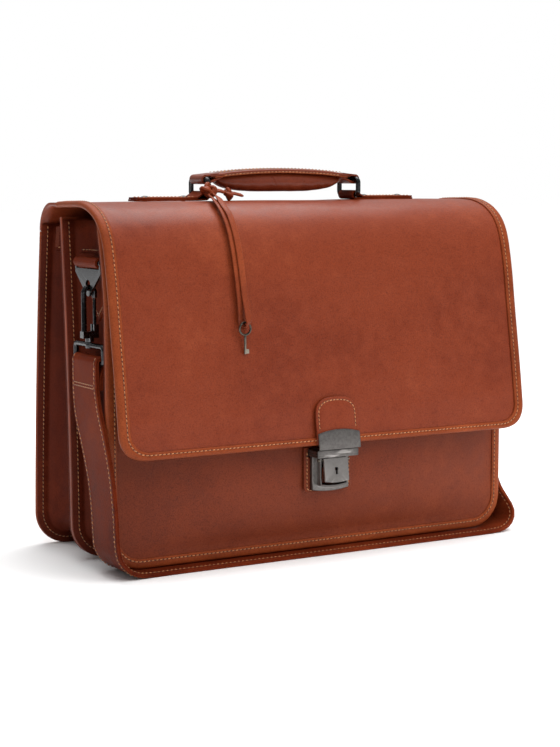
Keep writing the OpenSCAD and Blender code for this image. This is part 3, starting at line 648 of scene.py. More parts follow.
def rim_line(inset, depth, foot, top, face):
    """A line on a face, along the rim."""
    line = []
    for station in rim_stations():
        x, z = rim_at(station, inset, foot, top)
        line.append((x, face(z) + depth, z))
    return line


def binding(name, outline, foot, top, face):
    """A wall's binding: an outline of (inset, depth) swept round the rim."""
    lines = [rim_line(inset, depth, foot, top, face) for inset, depth in outline]
    piece(f"{name}_leather", skinned([list(ring) for ring in zip(*lines)]), EDGE_LOOK, "case", (name,))


def make_bindings():
    domed = [(SEAM_W, -0.05), (SEAM_W, -0.8), (SEAM_W - 0.7, -1.25), (5, -1.45), (2, -1.35), (0.6, -0.9),
             (-0.1, 0.4), (-0.25, 2.2), (0.3, 3.2), (1.2, 3.2), (0.7, 2.0), (0.8, 0.2), (2, -0.05),
             (5, -0.05)]
    turned = [(inset, HIDE - depth) for inset, depth in domed[::-1]]
    binding("front_binding", domed, FRONT_FOOT, BODY_H, front_edge)
    binding("back_binding", turned, 0, BACK_TOP, lambda z: back_out(z) - HIDE)
    front = rim_line(6.3, -1.42, FRONT_FOOT, BODY_H, front_edge)
    stitches("front_binding", [(front, (0, -1, 0))], "case", "edge_hide")
    back = rim_line(6.3, 1.42, 0, BACK_TOP, back_out)
    stitches("back_binding", [(back, (0, 1, 0))], "case", "edge_hide")


FLANGE = 9.5
FACING_T = 2.2
FACING_LOW = 267
BOTTOM_FOLD = 4
GUSSET_SEAM_Z = 264


def folded(u, peak):
    """Share of a bellows fold's depth at share u across it."""
    warped = u / (2 * peak) if u < peak else 0.5 + (u - peak) / (2 * (1 - peak))
    return math.sin(math.pi * warped) ** 0.8


def gusset_surface(station, u, extra, shape):
    """Point of a gusset's outer side at share u from face a to face b, moved in by extra."""
    face_a, face_b, foot_a, foot_b, top, fold, peak = shape
    turn = abs(math.cos(math.radians(station[2])))
    inset = FLANGE + (BOTTOM_FOLD + (fold - BOTTOM_FOLD) * turn) * folded(u, peak) + extra
    height = station[1] * 200
    inset += math.sin(math.pi * u) * ripple(u * 40 + height, height + station[0], 34, 2.2, 9)
    x, z = rim_at(station, inset, foot_a + (foot_b - foot_a) * u, top)
    a, b = face_a(z), face_b(z)
    return (x, a + (b - a) * u, z)


def gusset(name, shape):
    """Bellows gusset with its two stitched flanges and the seam of its facing."""
    face_a, face_b, foot_a, foot_b, top, _, _ = shape
    shares = [0.03, 0.1, 0.2, 0.3, 0.4, 0.5, 0.6, 0.7, 0.8, 0.9, 0.97]
    near, past = FLANGE - 0.6, FLANGE + FACING_T
    rings = []
    for station in rim_stations():
        def flange(u, *spots):
            """Points of (inset, depth) on the flange at face a or b."""
            found = []
            for inset, depth in spots:
                x, z = rim_at(station, inset, foot_a + (foot_b - foot_a) * u, top)
                found.append((x, (face_a(z) if u == 0 else face_b(z)) + depth, z))
            return found

        def wall(extra):
            return [gusset_surface(station, u, extra, shape) for u in shares]

        rings.append([
            *flange(0, (0.3, FACING_T), (near, FACING_T)), *wall(0),
            *flange(1, (near, -FACING_T), (0.3, -FACING_T), (-0.1, -1.1), (0.3, 0), (past, 0)),
            *wall(FACING_T)[::-1], *flange(0, (past, 0), (0.3, 0), (-0.1, 1.1))])
    piece(f"{name}_leather", skinned(rings), GUSSET_LOOK, "case", (name,))
    rows = [(rim_line(5.2, -FACING_T - 0.05, foot_b, top, face_b), (0, -1, 0)),
            (rim_line(5.2, FACING_T + 0.05, foot_a, top, face_a), (0, 1, 0))]
    stitches(name, rows, "case", "gusset_hide")
    share = (GUSSET_SEAM_Z - foot_a - CORNER_R) / (top - foot_a - CORNER_R)
    station = (-(BODY_W / 2 - CORNER_R), share, 180.0)
    seam = [gusset_surface(station, 0.08 + 0.84 * k / 20, -0.2, shape) for k in range(21)]
    for mirror, side in SIDES:
        line = [(x * -mirror, y, z) for x, y, z in seam]
        tube(f"{name}_seam_{side}", line, 0.7, GUSSET_LOOK, "case")
        above = [(x, y, z + 3) for x, y, z in line]
        stitches(f"{name}_seam_{side}", [(above, (mirror, 0, 0))], "case", "gusset_hide", FINE_PITCH)


def facing(name, shape):
    """Facings inside the top of a gusset, one on each side."""
    face_a, face_b, _, _, top, fold, peak = shape
    points, faces = [], []
    for mirror, _ in SIDES:
        rows = []
        for k in range(7):
            z = FACING_LOW + (top - 2 - FACING_LOW) * k / 6
            a, b = face_a(z) + 2.6, face_b(z) - 2.6
            row = []
            for j in range(21):
                inset = FLANGE + FACING_T + 1.2 + fold * folded(j / 20, peak)
                row.append((mirror * (BODY_W / 2 - inset), a + (b - a) * (j / 20), z))
            rows.append(row if mirror < 0 else row[::-1])
        some, quads = thick(rows, 1.2)
        faces += [[v + len(points) for v in q] for q in quads]
        points += some
    piece(f"{name}_leather", (points, faces), HIDE_LOOK, "case", (name,), 0.3)


def make_gussets():
    rear = (lambda z: partition_mid(z) + 2.3, lambda z: back_out(z) - HIDE - 0.3,
            PARTITION_FOOT, 0, 287, 14, 0.5)
    front = (lambda z: front_edge(z) + HIDE + 0.3, lambda z: partition_mid(z) - 2.3,
             FRONT_FOOT, PARTITION_FOOT, BODY_H - 1, 9, 0.72)
    gusset("rear_gusset", rear)
    gusset("front_gusset", front)
    facing("rear_gusset_facing", rear)
    facing("front_gusset_facing", front)


# ---- Flap ----

FLAP_W = 406
FLAP_T = 3.2
FLAP_R = 26
BAND_W = 9.5
FLAP_LINE = [Vector((0, y, z)) for y, z in (
    (91, 306), (70, 306.7), (38, 306.3), (14, 298), (-2, 281), (-11, 250), (-18, 206), (-26, 157),
    (-34, 101))]
ENDS = len(FLAP_LINE) - 1
FOOT_LEN = (FLAP_LINE[-1] - FLAP_LINE[-2]).length


def flap_line(t):
    """Point of the flap's side view at share t."""
    i = min(int(t), ENDS - 1)
    four = FLAP_LINE[max(i - 1, 0)], FLAP_LINE[i], FLAP_LINE[i + 1], FLAP_LINE[min(i + 2, ENDS)]
    return spline(*four, t - i)


def flap_outward(t):
    d = flap_line(min(ENDS, t + 0.05)) - flap_line(max(0, t - 0.05))
    return Vector((0, d.z, -d.y)).normalized()


def flap_at(x, t, h):
    return flap_line(t) + flap_outward(min(t, ENDS)) * h + Vector((x, 0, 0))


def flap_half(s):
    if s >= FLAP_R:
        return FLAP_W / 2
    return FLAP_W / 2 - FLAP_R + math.sqrt(max(0, FLAP_R**2 - (FLAP_R - s) ** 2))


def flap_rim(sides=70, turns=12, flats=30):
    """(x, share, inward x, inward share) round the flap's free edge."""
    flat = FLAP_W / 2 - FLAP_R
    top = ENDS - FLAP_R / FOOT_LEN
    out = [(-FLAP_W / 2, 0.01 + top * k / sides, 1.0, 0.0) for k in range(sides)]
    for k in range(turns + 1):
        a = math.pi / 2 * k / turns
        c, s = math.cos(a), math.sin(a)
        out.append((-flat - FLAP_R * c, ENDS - FLAP_R * (1 - s) / FOOT_LEN, c, s))
    out += [(-flat + 2 * flat * k / flats, ENDS, 0.0, 1.0) for k in range(1, flats // 2 + 1)]
    mirrored = [(-x, t, -ix, it) for x, t, ix, it in out[::-1] if abs(x) > 1e-6]
    return out + mirrored


def flap_rim_at(station, inset, h):
    x, t, inward_x, inward_t = station
    return flap_at(x + inset * inward_x, t - inset * inward_t / FOOT_LEN, h)


def flap_edge_distance(x, t):
    """Distance in from the flap's free edge, about."""
    up = (ENDS - t) * FOOT_LEN
    flat = FLAP_W / 2 - FLAP_R
    side = FLAP_W / 2 - abs(x)
    if up < FLAP_R and abs(x) > flat:
        return FLAP_R - math.hypot(abs(x) - flat, FLAP_R - up)
    return min(side, up)


def make_flap():
    shares = [ENDS * k / 96 for k in range(90)]
    bottom = FOOT_LEN * (ENDS - shares[-1])
    shares += [ENDS - s / FOOT_LEN for s in (bottom - 1.5, 3, 1.6, 0.8, 0.2)]
    front, back = [], []
    columns = 56
    for t in shares:
        h = flap_half((ENDS - t) * FOOT_LEN)
        outer, inner = [], []
        for j in range(columns + 1):
            x = h * (2 * j / columns - 1)
            away = flap_edge_distance(x, t) - BAND_W
            dip = -0.75 * math.exp(-((max(0, away) / 5) ** 2)) if away > -2 else -0.75
            soft = ripple(x, t * 50, 75, 1.1, 2) * min(1, max(0, away) / 30)
            outer.append(flap_at(x, t, dip + soft))
            inner.append(flap_at(x, t, -FLAP_T))
        front.append(outer)
        back.append(inner)
    piece("flap_leather", slab(front, back), FLAP_LOOK, "flap", ("flap",), 0.3, 2)

    outline = [(BAND_W, -0.75), (BAND_W + 0.1, 0.2), (BAND_W - 0.6, 0.8), (BAND_W - 2.5, 1.0),
               (BAND_W - 3.2, 0.85), (BAND_W - 4.2, 1.1), (4.2, 1.25), (2, 1.1), (0.4, 0.4), (-0.5, -0.9),
               (-0.5, -2.4), (0.3, -3.7), (2, -4.1), (7, -4.1), (7.3, -3.5), (7, -3.1), (2, -3.1),
               (0.8, -2.4), (0.8, -0.9), (2, -0.4)]
    rings = [[flap_rim_at(station, inset, h) for inset, h in outline] for station in flap_rim()]
    piece("flap_binding_leather", skinned(rings), EDGE_LOOK, "flap", ("flap_binding",))
    line = [flap_rim_at(s, BAND_W - 3.0, 0.92) for s in flap_rim()]
    normals = [flap_outward(s[1]) for s in flap_rim()]
    stitches("flap_binding", [(line, normals)], "flap", "edge_hide")

    rows = []
    for k in range(61):
        t = 0.02 + (ENDS - 0.12) * k / 60
        h = flap_half((ENDS - t) * FOOT_LEN) - 6
        rows.append([flap_at(h * (2 * j / 20 - 1), t, -FLAP_T - 0.5) for j in range(21)])
    piece("flap_lining", thick(rows, 0.7), LINING_LOOK, "flap")
    rows = [[(x, y, 300.8) for y in range(43, 84, 8)] for x in range(-168, 169, 12)]
    piece("flap_stiffener_leather", thick(rows, 2.4), HIDE_LOOK, "flap", ("flap_stiffener",), 0.8)
    make_hinge()


HINGE_Y = 109
HINGE_Z = 281
ROLL_R = 25


def make_hinge():
    """Roll of leather from the back panel's top edge over to the flap."""
    profile = [(HINGE_Y + ROLL_R, HINGE_Z + 0.3)]
    profile += arc(HINGE_Y, HINGE_Z, ROLL_R, 6, 90, 20)
    profile += [(HINGE_Y - k * 3, HINGE_Z + ROLL_R) for k in range(1, 6)] + [(91.2, HINGE_Z + ROLL_R)]
    rows = [[(200 - 400 * j / 40, y, z) for j in range(41)] for y, z in profile]
    roll = piece("flap_hinge_leather", thick(rows, FLAP_T, -FLAP_T / 2), FLAP_LOOK, None, ("flap_hinge",))
    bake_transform(roll)


make_panels()
make_bindings()
make_gussets()
make_flap()


# ---- Flat sewn pieces ----


def moved_in(outline, inset):
    """A closed outline of (x, z) drawn in by an inset."""
    count, out = len(outline), []
    for i in range(count):
        a, b = Vector(outline[i - 1]), Vector(outline[(i + 1) % count])
        along = (b - a).normalized()
        out.append(Vector(outline[i]) + Vector((-along.y, along.x)) * inset)
    return out


PATCH_SEAM = 2.8


def sewn_patch(name, outline, depth, place, body, look, dome, first, last):
    """A patch stitched from its first to its last point. Its outline of (x, z) runs counter-clockwise."""
    steps = [(0.4, 0.0), (0.0, 0.35), (0.0, depth - 0.5), (0.25, depth - 0.12), (0.8, depth + 0.05),
             (2.0, depth), (2.8, depth - 0.28), (3.6, depth), (5.0, depth + dome * 0.7), (8.0, depth + dome)]
    rings = [[place(p[0], height, p[1]) for p in moved_in(outline, inset)] for inset, height in steps]
    piece(f"{name}_leather", skinned(rings), look, body, (name,))
    up = Vector(place(0, 1, 0)) - Vector(place(0, 0, 0))
    line = [place(p[0], depth - 0.18, p[1]) for p in moved_in(outline, PATCH_SEAM)]
    stitches(name, [(line[first:last], up)], body, look[1], PATCH_PITCH)


def rounded_arch(half, height, power=2.6, count=24):
    """Points of an arch from its right foot over to its left foot."""
    out = []
    for k in range(count + 1):
        a = math.pi * k / count
        out.append((half * math.copysign(abs(math.cos(a)) ** (2 / power), math.cos(a)),
                    height * math.sin(a) ** (2 / power)))
    return out


# ---- Handle ----

HANDLE_Y = 69
RING_X = 77
BAR_LOW = 311.4
BAR_HIGH = 325.6
HANDLE_W = 24


def arch(x):
    """Underside of the handle's strap."""
    return BAR_HIGH + 1.3 + 5.5 * max(0.0, math.cos(math.pi / 2 * min(1, abs(x) / RING_X))) ** 0.8


def edge_line(line, offset, lift):
    """A line beside the middle line of a strap that lies across y, with the strap's normals."""
    points, normals = [], []
    for i, p in enumerate(line):
        ahead = heading(line, i)
        side = (Vector(ALONG_Y) - ahead * ahead.dot(Vector(ALONG_Y))).normalized()
        up = ahead.cross(side)
        points.append(p + side * offset + up * lift)
        normals.append(up if lift > 0 else -up)
    return points, normals


STRAP_OUTLINE = (
    (-1, 0.5), (-1, 0.12), (-0.94, 0), (-0.5, 0), (0, 0), (0.5, 0), (0.94, 0), (1, 0.12),
    (1, 0.5), (0.96, 0.72), (0.84, 0.86), (0.5, 0.97), (0, 1), (-0.5, 0.97), (-0.84, 0.86), (-0.96, 0.72))


def make_handle():
    wrap = [(-60, arch(-60) - 0.9), (-68, BAR_HIGH - 0.6), (-73, BAR_HIGH - 2.6)]
    wrap += arc(-RING_X, BAR_HIGH, 3.3, 285, 95, 14) + [(-71, BAR_HIGH + 3.9), (-64, arch(-64) + 1.5)]
    for side, profile in (("left", wrap), ("right", [(-x, z) for x, z in wrap[::-1]])):
        line = catmull([(x, HANDLE_Y, z) for x, z in profile], 2)
        ribbon(f"handle_loop_{side}", line, HANDLE_W - 1, 1.9, HANDLE_LOOK, "handle")
    rings = []
    for k in range(57):
        x = 72 * (k / 28 - 1)
        mid = 1 - min(1, abs(x) / 72) ** 6
        half = HANDLE_W / 2 - 0.9 + 1.1 * mid
        low, high = arch(x) - 0.4, arch(x) + 1.6 + 1.35 * mid
        rings.append([(x, HANDLE_Y + u * half, low + (high - low) * v + ripple(x, u * 9, 22, 0.2, 11))
                      for u, v in STRAP_OUTLINE])
    piece("handle_strap_leather", skinned(rings), HANDLE_LOOK, "handle", ("handle_strap",), 0.3, 2)
    lines = [([(x, HANDLE_Y + y, arch(x) + 2.62) for x in range(-64, 65, 4)], (0, 0, 1)) for y in (-9.4, 9.4)]
    stitches("handle", lines, "handle", "strap_hide", FINE_PITCH)
    welt = [(x, HANDLE_Y, arch(x) - 0.95) for x in range(-68, 69, 4)]
    ribbon("handle_welt", welt, HANDLE_W + 0.6, 1.0, EDGE_LOOK, "handle", layered=False)
    make_grip()
    low = [(-142, BAR_LOW - 3.45), (-120, BAR_LOW - 3.5), (-100, BAR_LOW - 3.5), (-84, BAR_LOW - 3.45)]
    back = [(-84, BAR_LOW - 0.9), (-88, BAR_LOW - 1.75), (-100, BAR_LOW - 1.8), (-120, BAR_LOW - 1.8),
            (-141, BAR_LOW - 1.75)]
    chape = low + arc(-RING_X, BAR_LOW, 3.2, 262, 458, 14) + back
    for mirror, side in SIDES:
        line = catmull([(x * -mirror, HANDLE_Y, z) for x, z in chape], 2)
        ends = [min(1, 0.62 + max(0, 143 - abs(p.x)) * 0.06) for p in line]
        ribbon(f"chape_{side}_leather", line, HANDLE_W, 1.6, STRAP_LOOK, "flap", (f"chape_{side}",),
               layered=False, widths=ends)
        rows = [([(mirror * x, HANDLE_Y + y, BAR_LOW - 0.95) for x in range(86, 139, 4)], (0, 0, 1))
                for y in (-9.3, 9.3)]
        stitches(f"chape_{side}", rows, "flap", "strap_hide", FINE_PITCH)


def make_grip():
    """Padded roll under the handle's strap, with puckers where it's sewn."""
    half, low = 64.0, 316.0
    profile = [(-0.55, 1.0), (-0.72, 0.93), (-0.86, 0.78), (-0.97, 0.6), (-1.0, 0.42), (-0.93, 0.24),
               (-0.76, 0.1), (-0.5, 0.02), (-0.2, 0.0)]
    profile += [(-u, v) for u, v in profile[::-1]]
    rings = []
    for k in range(81):
        x = half * (k / 40 - 1)
        share = abs(x) / half
        full = math.sqrt(max(0.0, 1 - share**2.6))
        top = arch(x) - 1.1
        deep = (arch(0) - 1.1 - low) * full + 1.2
        wide = 5 + (HANDLE_W / 2 - 5) * full
        ring = []
        for u, v in profile:
            crease = max(0.0, 1 - abs(v - 0.25) * 2.2)
            wave = math.sin(x * 0.5 + 1.3 * math.sin(x * 0.13))
            pucker = 0.22 * wave * crease + ripple(x, v * 20 + u * 9, 11, 0.4, 7)
            y = HANDLE_Y + u * (wide + pucker * (0.3 + crease))
            ring.append((x, y, top - deep * (1 - v) - pucker * crease * 0.8))
        rings.append(ring)
    grip = piece("handle_grip_leather", skinned(rings), HANDLE_LOOK, "handle", ("handle_grip",))
    seams = []
    for side in (-1, 1):
        y = HANDLE_Y + side * (HANDLE_W / 2 + 0.05)
        seams.append(([(x, y, arch(x) - 0.35) for x in range(-60, 61, 3)], (0, side, 0)))
    stitches("handle_grip", seams, "handle", "strap_hide", FINE_PITCH)


# ---- Lock ----


def foot(x, out, up):
    """A point at the flap's foot: out from the flap's face, up along it."""
    rise = (FLAP_LINE[-2] - FLAP_LINE[-1]).normalized()
    back = Vector((0, rise.z, -rise.y))
    return FLAP_LINE[-1] + Vector((x, 0, 0)) + rise * up - back * out


TAB_LOOK = (FLAP_LOOK[0], "strap_hide")


def make_lock():
    patch = [(-24, 97.5), (-24, 66)] + [(x - 18, z + 63) for x, z in arc(0, 0, 6, 180, 270, 8)]
    patch += [(x + 18, z + 63) for x, z in arc(0, 0, 6, 270, 360, 8)] + [(24, 66), (24, 97.5)]
    spaced = divided(patch + patch[:1], 3)
    sewn_patch("lock_patch", spaced, 2.4, lambda x, h, z: (x, -17.6 - h, z), "case", HIDE_LOOK,
               0.0, 1, len(spaced) - 16)
    outline = [(20.9, 0.8), (21, 6), (21, 12), (21, 18)]
    outline += [(x, z + 24) for x, z in rounded_arch(21, 16.3)]
    outline += [(-21, 18), (-21, 12), (-21, 6), (-20.9, 0.8)]
    sewn_patch("lock_tab", outline, 2.0, lambda x, h, z: foot(x, 1.7 + h, z), "flap", TAB_LOOK,
               0.3, 2, len(outline) - 2)
    make_hasp()
    make_lock_case()


HASP_HALF = 20.8
HASP_LOW = -4.7


def make_hasp():
    """Crowned plate with an arched top and a lip, on a channel round the flap's edge."""
    rows = []
    for k in range(9):
        row = []
        for j in range(25):
            x = HASP_HALF * (j / 12 - 1)
            crown = 1 - (x / HASP_HALF) ** 2
            up = HASP_LOW + (9.4 + 3.0 * crown - HASP_LOW) * k / 8
            row.append(foot(x, 4.75 + 0.55 * crown + 0.35 * math.sin(math.pi * k / 8), up))
        rows.append(row)
    piece("hasp_plate_front", thick(rows, 1.3), LOCK_LOOK, "flap", ("hasp_plate",), 0.5)
    side = [(4.4, -0.6), (3.6, -1.15), (0, -1.2), (-4.2, -1.2), (-4.5, -0.4), (-4.5, 2), (-4.5, 6)]
    rows = [[foot(16 * (j / 6 - 1), out, up) for j in range(13)] for out, up in side]
    piece("hasp_plate_channel", thick(rows, 1.1), LOCK_LOOK, "flap", (), 0.3)


def box_walk(left, right, low, high, bow=0.0, steps=8):
    """Points round a box, counter-clockwise from its lower left, with a bowed lower side."""
    out = []
    for k in range(steps):
        out.append(((left + (right - left) * k / steps), low + bow * (2 * k / steps - 1) ** 2))
    out += [(right, low + bow + (high - low - bow) * k / steps) for k in range(steps)]
    out += [(right + (left - right) * k / steps, high) for k in range(steps)]
    return out + [(left, high + (low + bow - high) * k / steps) for k in range(steps)]


def framed(name, outer, inner, section, place, replaces):
    """A frame between two outlines. Its section is (share of the way in, inset, height)."""
    points, faces = [], []
    count, size = len(outer), len(section)
    for o, i in zip(outer, inner):
        o, i = Vector(o), Vector(i)
        inward = (i - o).normalized()
        for share, inset, height in section:
            p = o.lerp(i, share) + inward * inset
            points.append(place(p.x, p.y, height))
    for a in range(count):
        for b in range(size):
            c, d = (a + 1) % count * size, (b + 1) % size
            faces.append([a * size + b, a * size + d, c + d, c + b])
    piece(name, (points, faces), LOCK_LOOK, "case", replaces, 0.1, 1)


def make_lock_case():
    """Base plate with a raised rim round the lever, and the bar that the tongue goes into."""
    rim = [(0, 0, 0), (0, 0, 3.3), (0, 0.7, 4.0), (1, -1.6, 4.0), (1, -1.6, 9.2), (1, -1.2, 9.6), (1, 0, 9.6),
           (1, 0, 0)]
    framed("lock_base_plate", box_walk(-18.5, 18.5, 58.4, 90.6, 1.9), box_walk(-12.6, 12.6, 64.4, 90.2, 1.2),
           rim, lambda x, z, out: (x, -20.3 - out, z), ("lock_base",))
    bar = [(0, 0.5, 0), (0, 0, 0.5), (0, 0, 2.3), (0, 0.45, 2.6), (0, 0, 2.9), (0, 0, 5.9), (0, 0.6, 6.5),
           (1, 0, 6.5), (1, 0, 0)]
    framed("lock_base_bar", box_walk(-20.6, 20.6, -36.4, -20.3), box_walk(-10, 10, -34, -22.5), bar,
           lambda x, y, up: (x, y, 89.7 + up), ())


# ---- Side tabs, strap and keeper ----

RIG_X = 197.4
RIG_Y = 37.4
TAB_W = 43
TRI_BAR = 258
EYE_Z = 176
STRAP_W = 48
STRAP_T = 3.6
LOOP_R = 5.85 - STRAP_T / 2
STRAP_X = RIG_X + 5.85 - STRAP_T / 2
BUCKLE_X = 204.6
BUCKLE_Z = 127
KEEPER_X = 205.8
KEEPER_Z = 145.0

STRAP_MID = [
    (-STRAP_X, 37.3, 151.8), (-201.8, 34.6, 142), (-202.3, 29, 130), (-202.3, 18, 108),
    (-202.3, 8, 84), (-202.3, 2, 58), (-202.4, -1, 34), (-199.6, 0.5, 20.5), (-191.6, 2.5, 10),
    (-181, 4.5, 4), (-168, 6, 2.1), (-140, 7, 1.9), (-70, 7, 1.8), (0, 7, 1.8), (70, 7, 1.8),
    (140, 7, 1.9), (182, 7.4, 2.1), (197, 8.6, 3.9), (205.4, 12, 10), (207.2, 18, 19.6), (205.6, 25.5, 32),
    (204, 33, 47), (203.2, 37.2, 64), (203.2, RIG_Y, 82), (204.8, RIG_Y, 98), (208.4, RIG_Y, 110),
    (211.2, RIG_Y, 122), (211.4, RIG_Y, 131), (209.8, RIG_Y, 142), (208.4, RIG_Y, 151), (208.4, RIG_Y, 164)]
TAIL_LOW = 209
TAIL_RISE = 13.5


def tail(y):
    """Distance of a side tab's tail in from the hardware's middle, across the tab."""
    return 5.9 + (y + TAB_W / 2) * math.tan(math.radians(9.5))


def make_side_tab(mirror, side):
    """Tab folded over the triangle's bar, with a pointed tail on the gusset."""
    rows = []
    columns = [TAB_W * (j / 16 - 0.5) for j in range(17)]
    for k in range(13):
        share = k / 12
        rows.append([(tail(y), y, TAIL_LOW + TAIL_RISE * abs(y) / (TAB_W / 2) + 30 * share
                      + share * (1 - abs(y) / (TAB_W / 2)) * TAIL_RISE) for y in columns])
    for x, z, hold in ((4.6, 256.6, 0.8), (4.4, 259.4, 0.45), (3.3, 261.0, 0.2)):
        rows.append([(x + (tail(y) - x) * hold, y, z) for y in columns])
    rows += [[(x, y, z) for y in columns] for x, z in arc(0, TRI_BAR, 3.4, 75, 330, 14)]
    for hold, z in ((0.35, 254.2), (0.7, 251.8), (1.0, 249.5)):
        rows.append([(3.0 + (tail(y) - 2.3 - 3.0) * hold, y, z) for y in columns])
    placed = [[(mirror * (RIG_X - x), RIG_Y + y, z) for x, y, z in row[::-mirror]] for row in rows]
    piece(f"side_tab_{side}_leather", thick(placed, 2.0), STRAP_LOOK, "case", (f"side_tab_{side}",), 0.5)
    edge = TAB_W / 2 - 3.4
    across = (-edge, -edge / 2, 0, edge / 2, edge)
    vee = [(y, TAIL_LOW + 4.6 + TAIL_RISE * abs(y) / (TAB_W / 2)) for y in across]
    shape = [(-edge, 250), (-edge, 236)] + vee + [(edge, 236), (edge, 250), (-edge, 250)]
    line = [(mirror * (RIG_X - tail(y) + 1.05), RIG_Y + y, z) for y, z in divided(shape)]
    stitches(f"side_tab_{side}", [(line, (mirror, 0, 0))], "case", "strap_hide", PATCH_PITCH)


def loop_line(mirror):
    """Folded strap round an eye's bar: up outside, over the bar and down inside."""
    inner = STRAP_T - LOOP_R
    inside = [(inner, EYE_Z - 22), (inner, EYE_Z - 16), (inner + 0.5, EYE_Z - 11), (2.2, EYE_Z - 5)]
    over = arc(0, EYE_Z, LOOP_R, -25, 180, 12)
    outside = [(-LOOP_R, EYE_Z - 8), (-LOOP_R, EYE_Z - 16)]
    return [(mirror * (RIG_X - x), RIG_Y, z) for x, z in inside + over + outside]


def strap(name, line, width, depth, replaces, across=ALONG_Y):
    ribbon(f"{name}_leather", line, width, depth, STRAP_LOOK, "case", replaces, across)


def make_strap():
    line = catmull(loop_line(-1) + STRAP_MID, 3)
    strap("shoulder_strap", line, STRAP_W, STRAP_T, ("shoulder_strap", "strap_end_left"))
    rows = []
    for offset in (-STRAP_W / 2 + 3.2, STRAP_W / 2 - 3.2):
        for lift in (-1, 1):
            points, normals = edge_line(line, offset, lift * (STRAP_T / 2 - 0.02))
            rows.append((points[36:-4], normals[36:-4]))
    stitches("shoulder_strap", rows, "case", "strap_hide", 4.0)
    right = catmull(loop_line(1) + [(STRAP_X, RIG_Y, EYE_Z - 22.5)], 3)
    strap("strap_end_right", right, STRAP_W, STRAP_T, ("strap_end_right",))
    short = [(STRAP_X - 0.1, z) for z in (152, 145, 138, 132)] + arc(BUCKLE_X, BUCKLE_Z, 3.25, 180, 330, 8)
    strap("strap_short", catmull([(x, RIG_Y, z) for x, z in short], 2), STRAP_W, 2.4, ("strap_short",))
    for mirror, side in SIDES:
        x = mirror * (STRAP_X + STRAP_T / 2)
        rows = [[(x, RIG_Y + y, z) for y in range(-20, 21, 4)] for z in (EYE_Z - 18.5, EYE_Z - 21)]
        rows += [[(x, RIG_Y + y, z) for z in range(158, 173, 3)] for y in (-20.8, 20.8)]
        seams = [(row, (mirror, 0, 0)) for row in rows]
        stitches(f"strap_end_{side}", seams, "case", "strap_hide", PATCH_PITCH)
    keeper = []
    r = 2.2
    wide, deep = STRAP_W / 2 + 1.2 - r, 7.1 - r
    for x0, y0, start in ((deep, wide, 0), (-deep, wide, 90), (-deep, -wide, 180), (deep, -wide, 270)):
        corner = arc(0, 0, r, start, start + 90, 6)
        keeper += [(KEEPER_X + x0 + x, RIG_Y + y0 + y, KEEPER_Z) for x, y in corner]
    strap("strap_keeper", keeper + keeper[:1], 9, 1.4, ("strap_keeper",), (0, 0, 1))


# ---- Lanyard ----

LACE_MID = [
    (-77.2, 41.4, 312.6), (-79.6, 34, 311.4), (-82, 25, 310), (-83.6, 14.6, 304.5),
    (-84, 2.4, 296.4), (-84, -7.1, 282.8), (-83.6, -13.6, 265.4), (-83.1, -18, 245.3),
    (-82.4, -21.3, 227), (-82.3, -25.4, 215), (-82.6, -27.3, 207.5), (-84.2, -24.2, 204.4),
    (-85.7, -21.2, 207.5), (-85.9, -20.6, 215), (-86.2, -19.2, 227), (-86.9, -16.4, 245),
    (-87.4, -12, 265), (-87.7, -5.6, 282.2), (-87.6, 3.4, 294.8), (-86.6, 14, 302.8),
    (-85.4, 25, 308.2), (-83.2, 34, 309.8), (-81, 41.4, 311.4)]
KNOT = Vector((-79, 49, 316.5))
LACE_WIDE = 3.0
LACE_THICK = 0.85


def thong(name, line, body, wide, thin, outward, ends=1.0, replaces=()):
    """Flat leather thong along a line, its face turned outward."""
    line = [Vector(p) for p in line]
    last = len(line) - 1
    rings = []
    for i, p in enumerate(line):
        ahead = heading(line, i)
        up = Vector(outward(i / last) if callable(outward) else outward)
        up = (up - ahead * up.dot(ahead)).normalized()
        side = up.cross(ahead)
        narrow = ends + (1 - ends) * min(1, (last - i) / 3)
        ring = []
        for k in range(12):
            a = math.tau * (k + 0.5) / 12
            x = math.copysign(abs(math.cos(a)) ** 0.45, math.cos(a)) * wide * narrow
            z = math.copysign(abs(math.sin(a)) ** 0.6, math.sin(a)) * thin * narrow
            ring.append(p + side * x + up * z)
        rings.append(ring)
    return piece(name, skinned(rings), LACE_LOOK, body, replaces)


def overhand(centre, size, turn):
    """Centre line of a tied knot: a trefoil, squashed and turned."""
    out = []
    for k in range(61):
        t = math.tau * k / 60
        x = math.sin(t) + 2 * math.sin(2 * t)
        y = math.cos(t) - 2 * math.cos(2 * t)
        out.append(centre + turn @ (Vector((x, y, -1.25 * math.sin(3 * t))) * size))
    return out


def line_from(start, steps, *offsets):
    """Smooth line through points given as offsets from a start."""
    return catmull([start + Vector(p) for p in offsets], steps)


def turned(share):
    """The lace's face: flat on the flap, and edge-on where it goes through the key."""
    fold = max(0.0, 1 - abs(share - 0.5) / 0.07)
    return (0.06 + 1.4 * fold * (1 if share < 0.5 else -1), -1, 0.35 - fold)


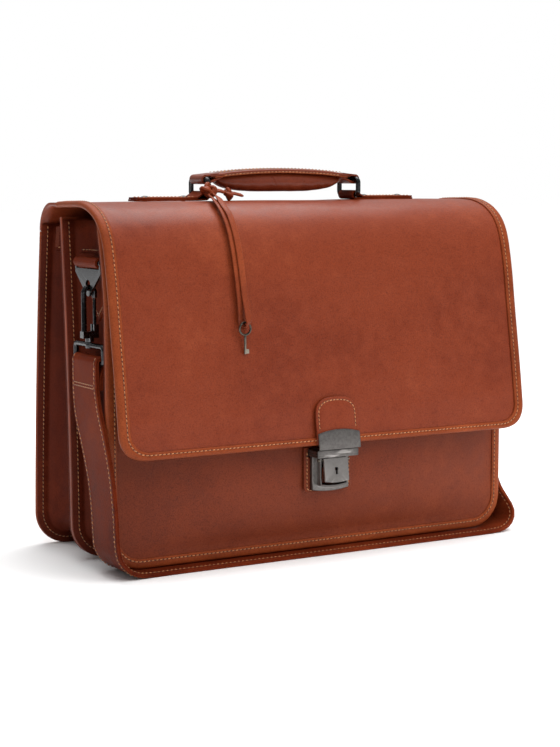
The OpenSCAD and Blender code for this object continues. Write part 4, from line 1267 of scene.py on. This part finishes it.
def make_lace():
    line = catmull(LACE_MID, 5)
    lace = thong("key_lace_leather", line, "flap", LACE_WIDE, LACE_THICK, turned, replaces=("key_lace",))
    turn = Matrix.Rotation(0.5, 3, "X") @ Matrix.Rotation(0.4, 3, "Z")
    knot = thong("lace_knot_leather", overhand(KNOT, 1.9, turn), "ring_left", 2.9, 1.75,
                 lambda t: (math.sin(9 * t), -1, math.cos(7 * t)), replaces=("lace_knot",))
    middle = KNOT + Vector((18, -3, -3.5))
    turn = Matrix.Rotation(1.2, 3, "Y") @ Matrix.Rotation(0.6, 3, "X")
    tail_knot = thong("lace_tail_knot_leather", overhand(middle, 1.25, turn), "flap", 2.5, 1.5,
                      lambda t: (math.sin(8 * t), -1, math.cos(6 * t)), replaces=("lace_tail_knot",))
    free = line_from(middle, 6, (-1, 0, 0), (4, -0.5, 0.6), (9, -1, -0.4), (14, -1.2, -1.6))
    end = thong("lace_tail_leather", free, "flap", 2.2, 1.0, (0, -0.5, 1), 0.45)
    between = line_from(KNOT, 5, (4, -3, -1), (8, -3.5, -0.5), (13, -3.5, -1.8), (17, -3, -3))
    link = thong("lace_link_leather", between, None, 2.3, 1.2, (0, -0.5, 1))
    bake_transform(link)


# ---- Finish of the CAD's metal parts ----


def dress_metal():
    """Materials and soft edges for the metal parts that keep their CAD shape."""
    kinds = {slot: (material, width) for (material, slot), width in (
        (LOCK_LOOK, 0.35), (RIG_LOOK, 0.3), (STEEL_LOOK, 0.15), (CANVAS_LOOK, 0))}
    slots = {part["node"]: part["material_slot"] for part in frame["record"]["subparts"]}
    for name, made in frame["nodes"].items():
        if slots.get(name) not in kinds:
            continue
        material, width = kinds[slots[name]]
        for place in made.material_slots:
            place.material = RIG_LOOK[0] if name == "key_cam" else material
        if width:
            weld = made.modifiers.new("joined", "WELD")
            weld.merge_threshold = 0.00001
            soft = made.modifiers.new("soft_edges", "BEVEL")
            soft.width = width * MM
            soft.segments = 2
            soft.limit_method = "ANGLE"
            soft.angle_limit = math.radians(50)
            soft.use_clamp_overlap = True


make_handle()
make_lock()
for mirror, side in SIDES:
    make_side_tab(mirror, side)
make_strap()
make_lace()
dress_metal()
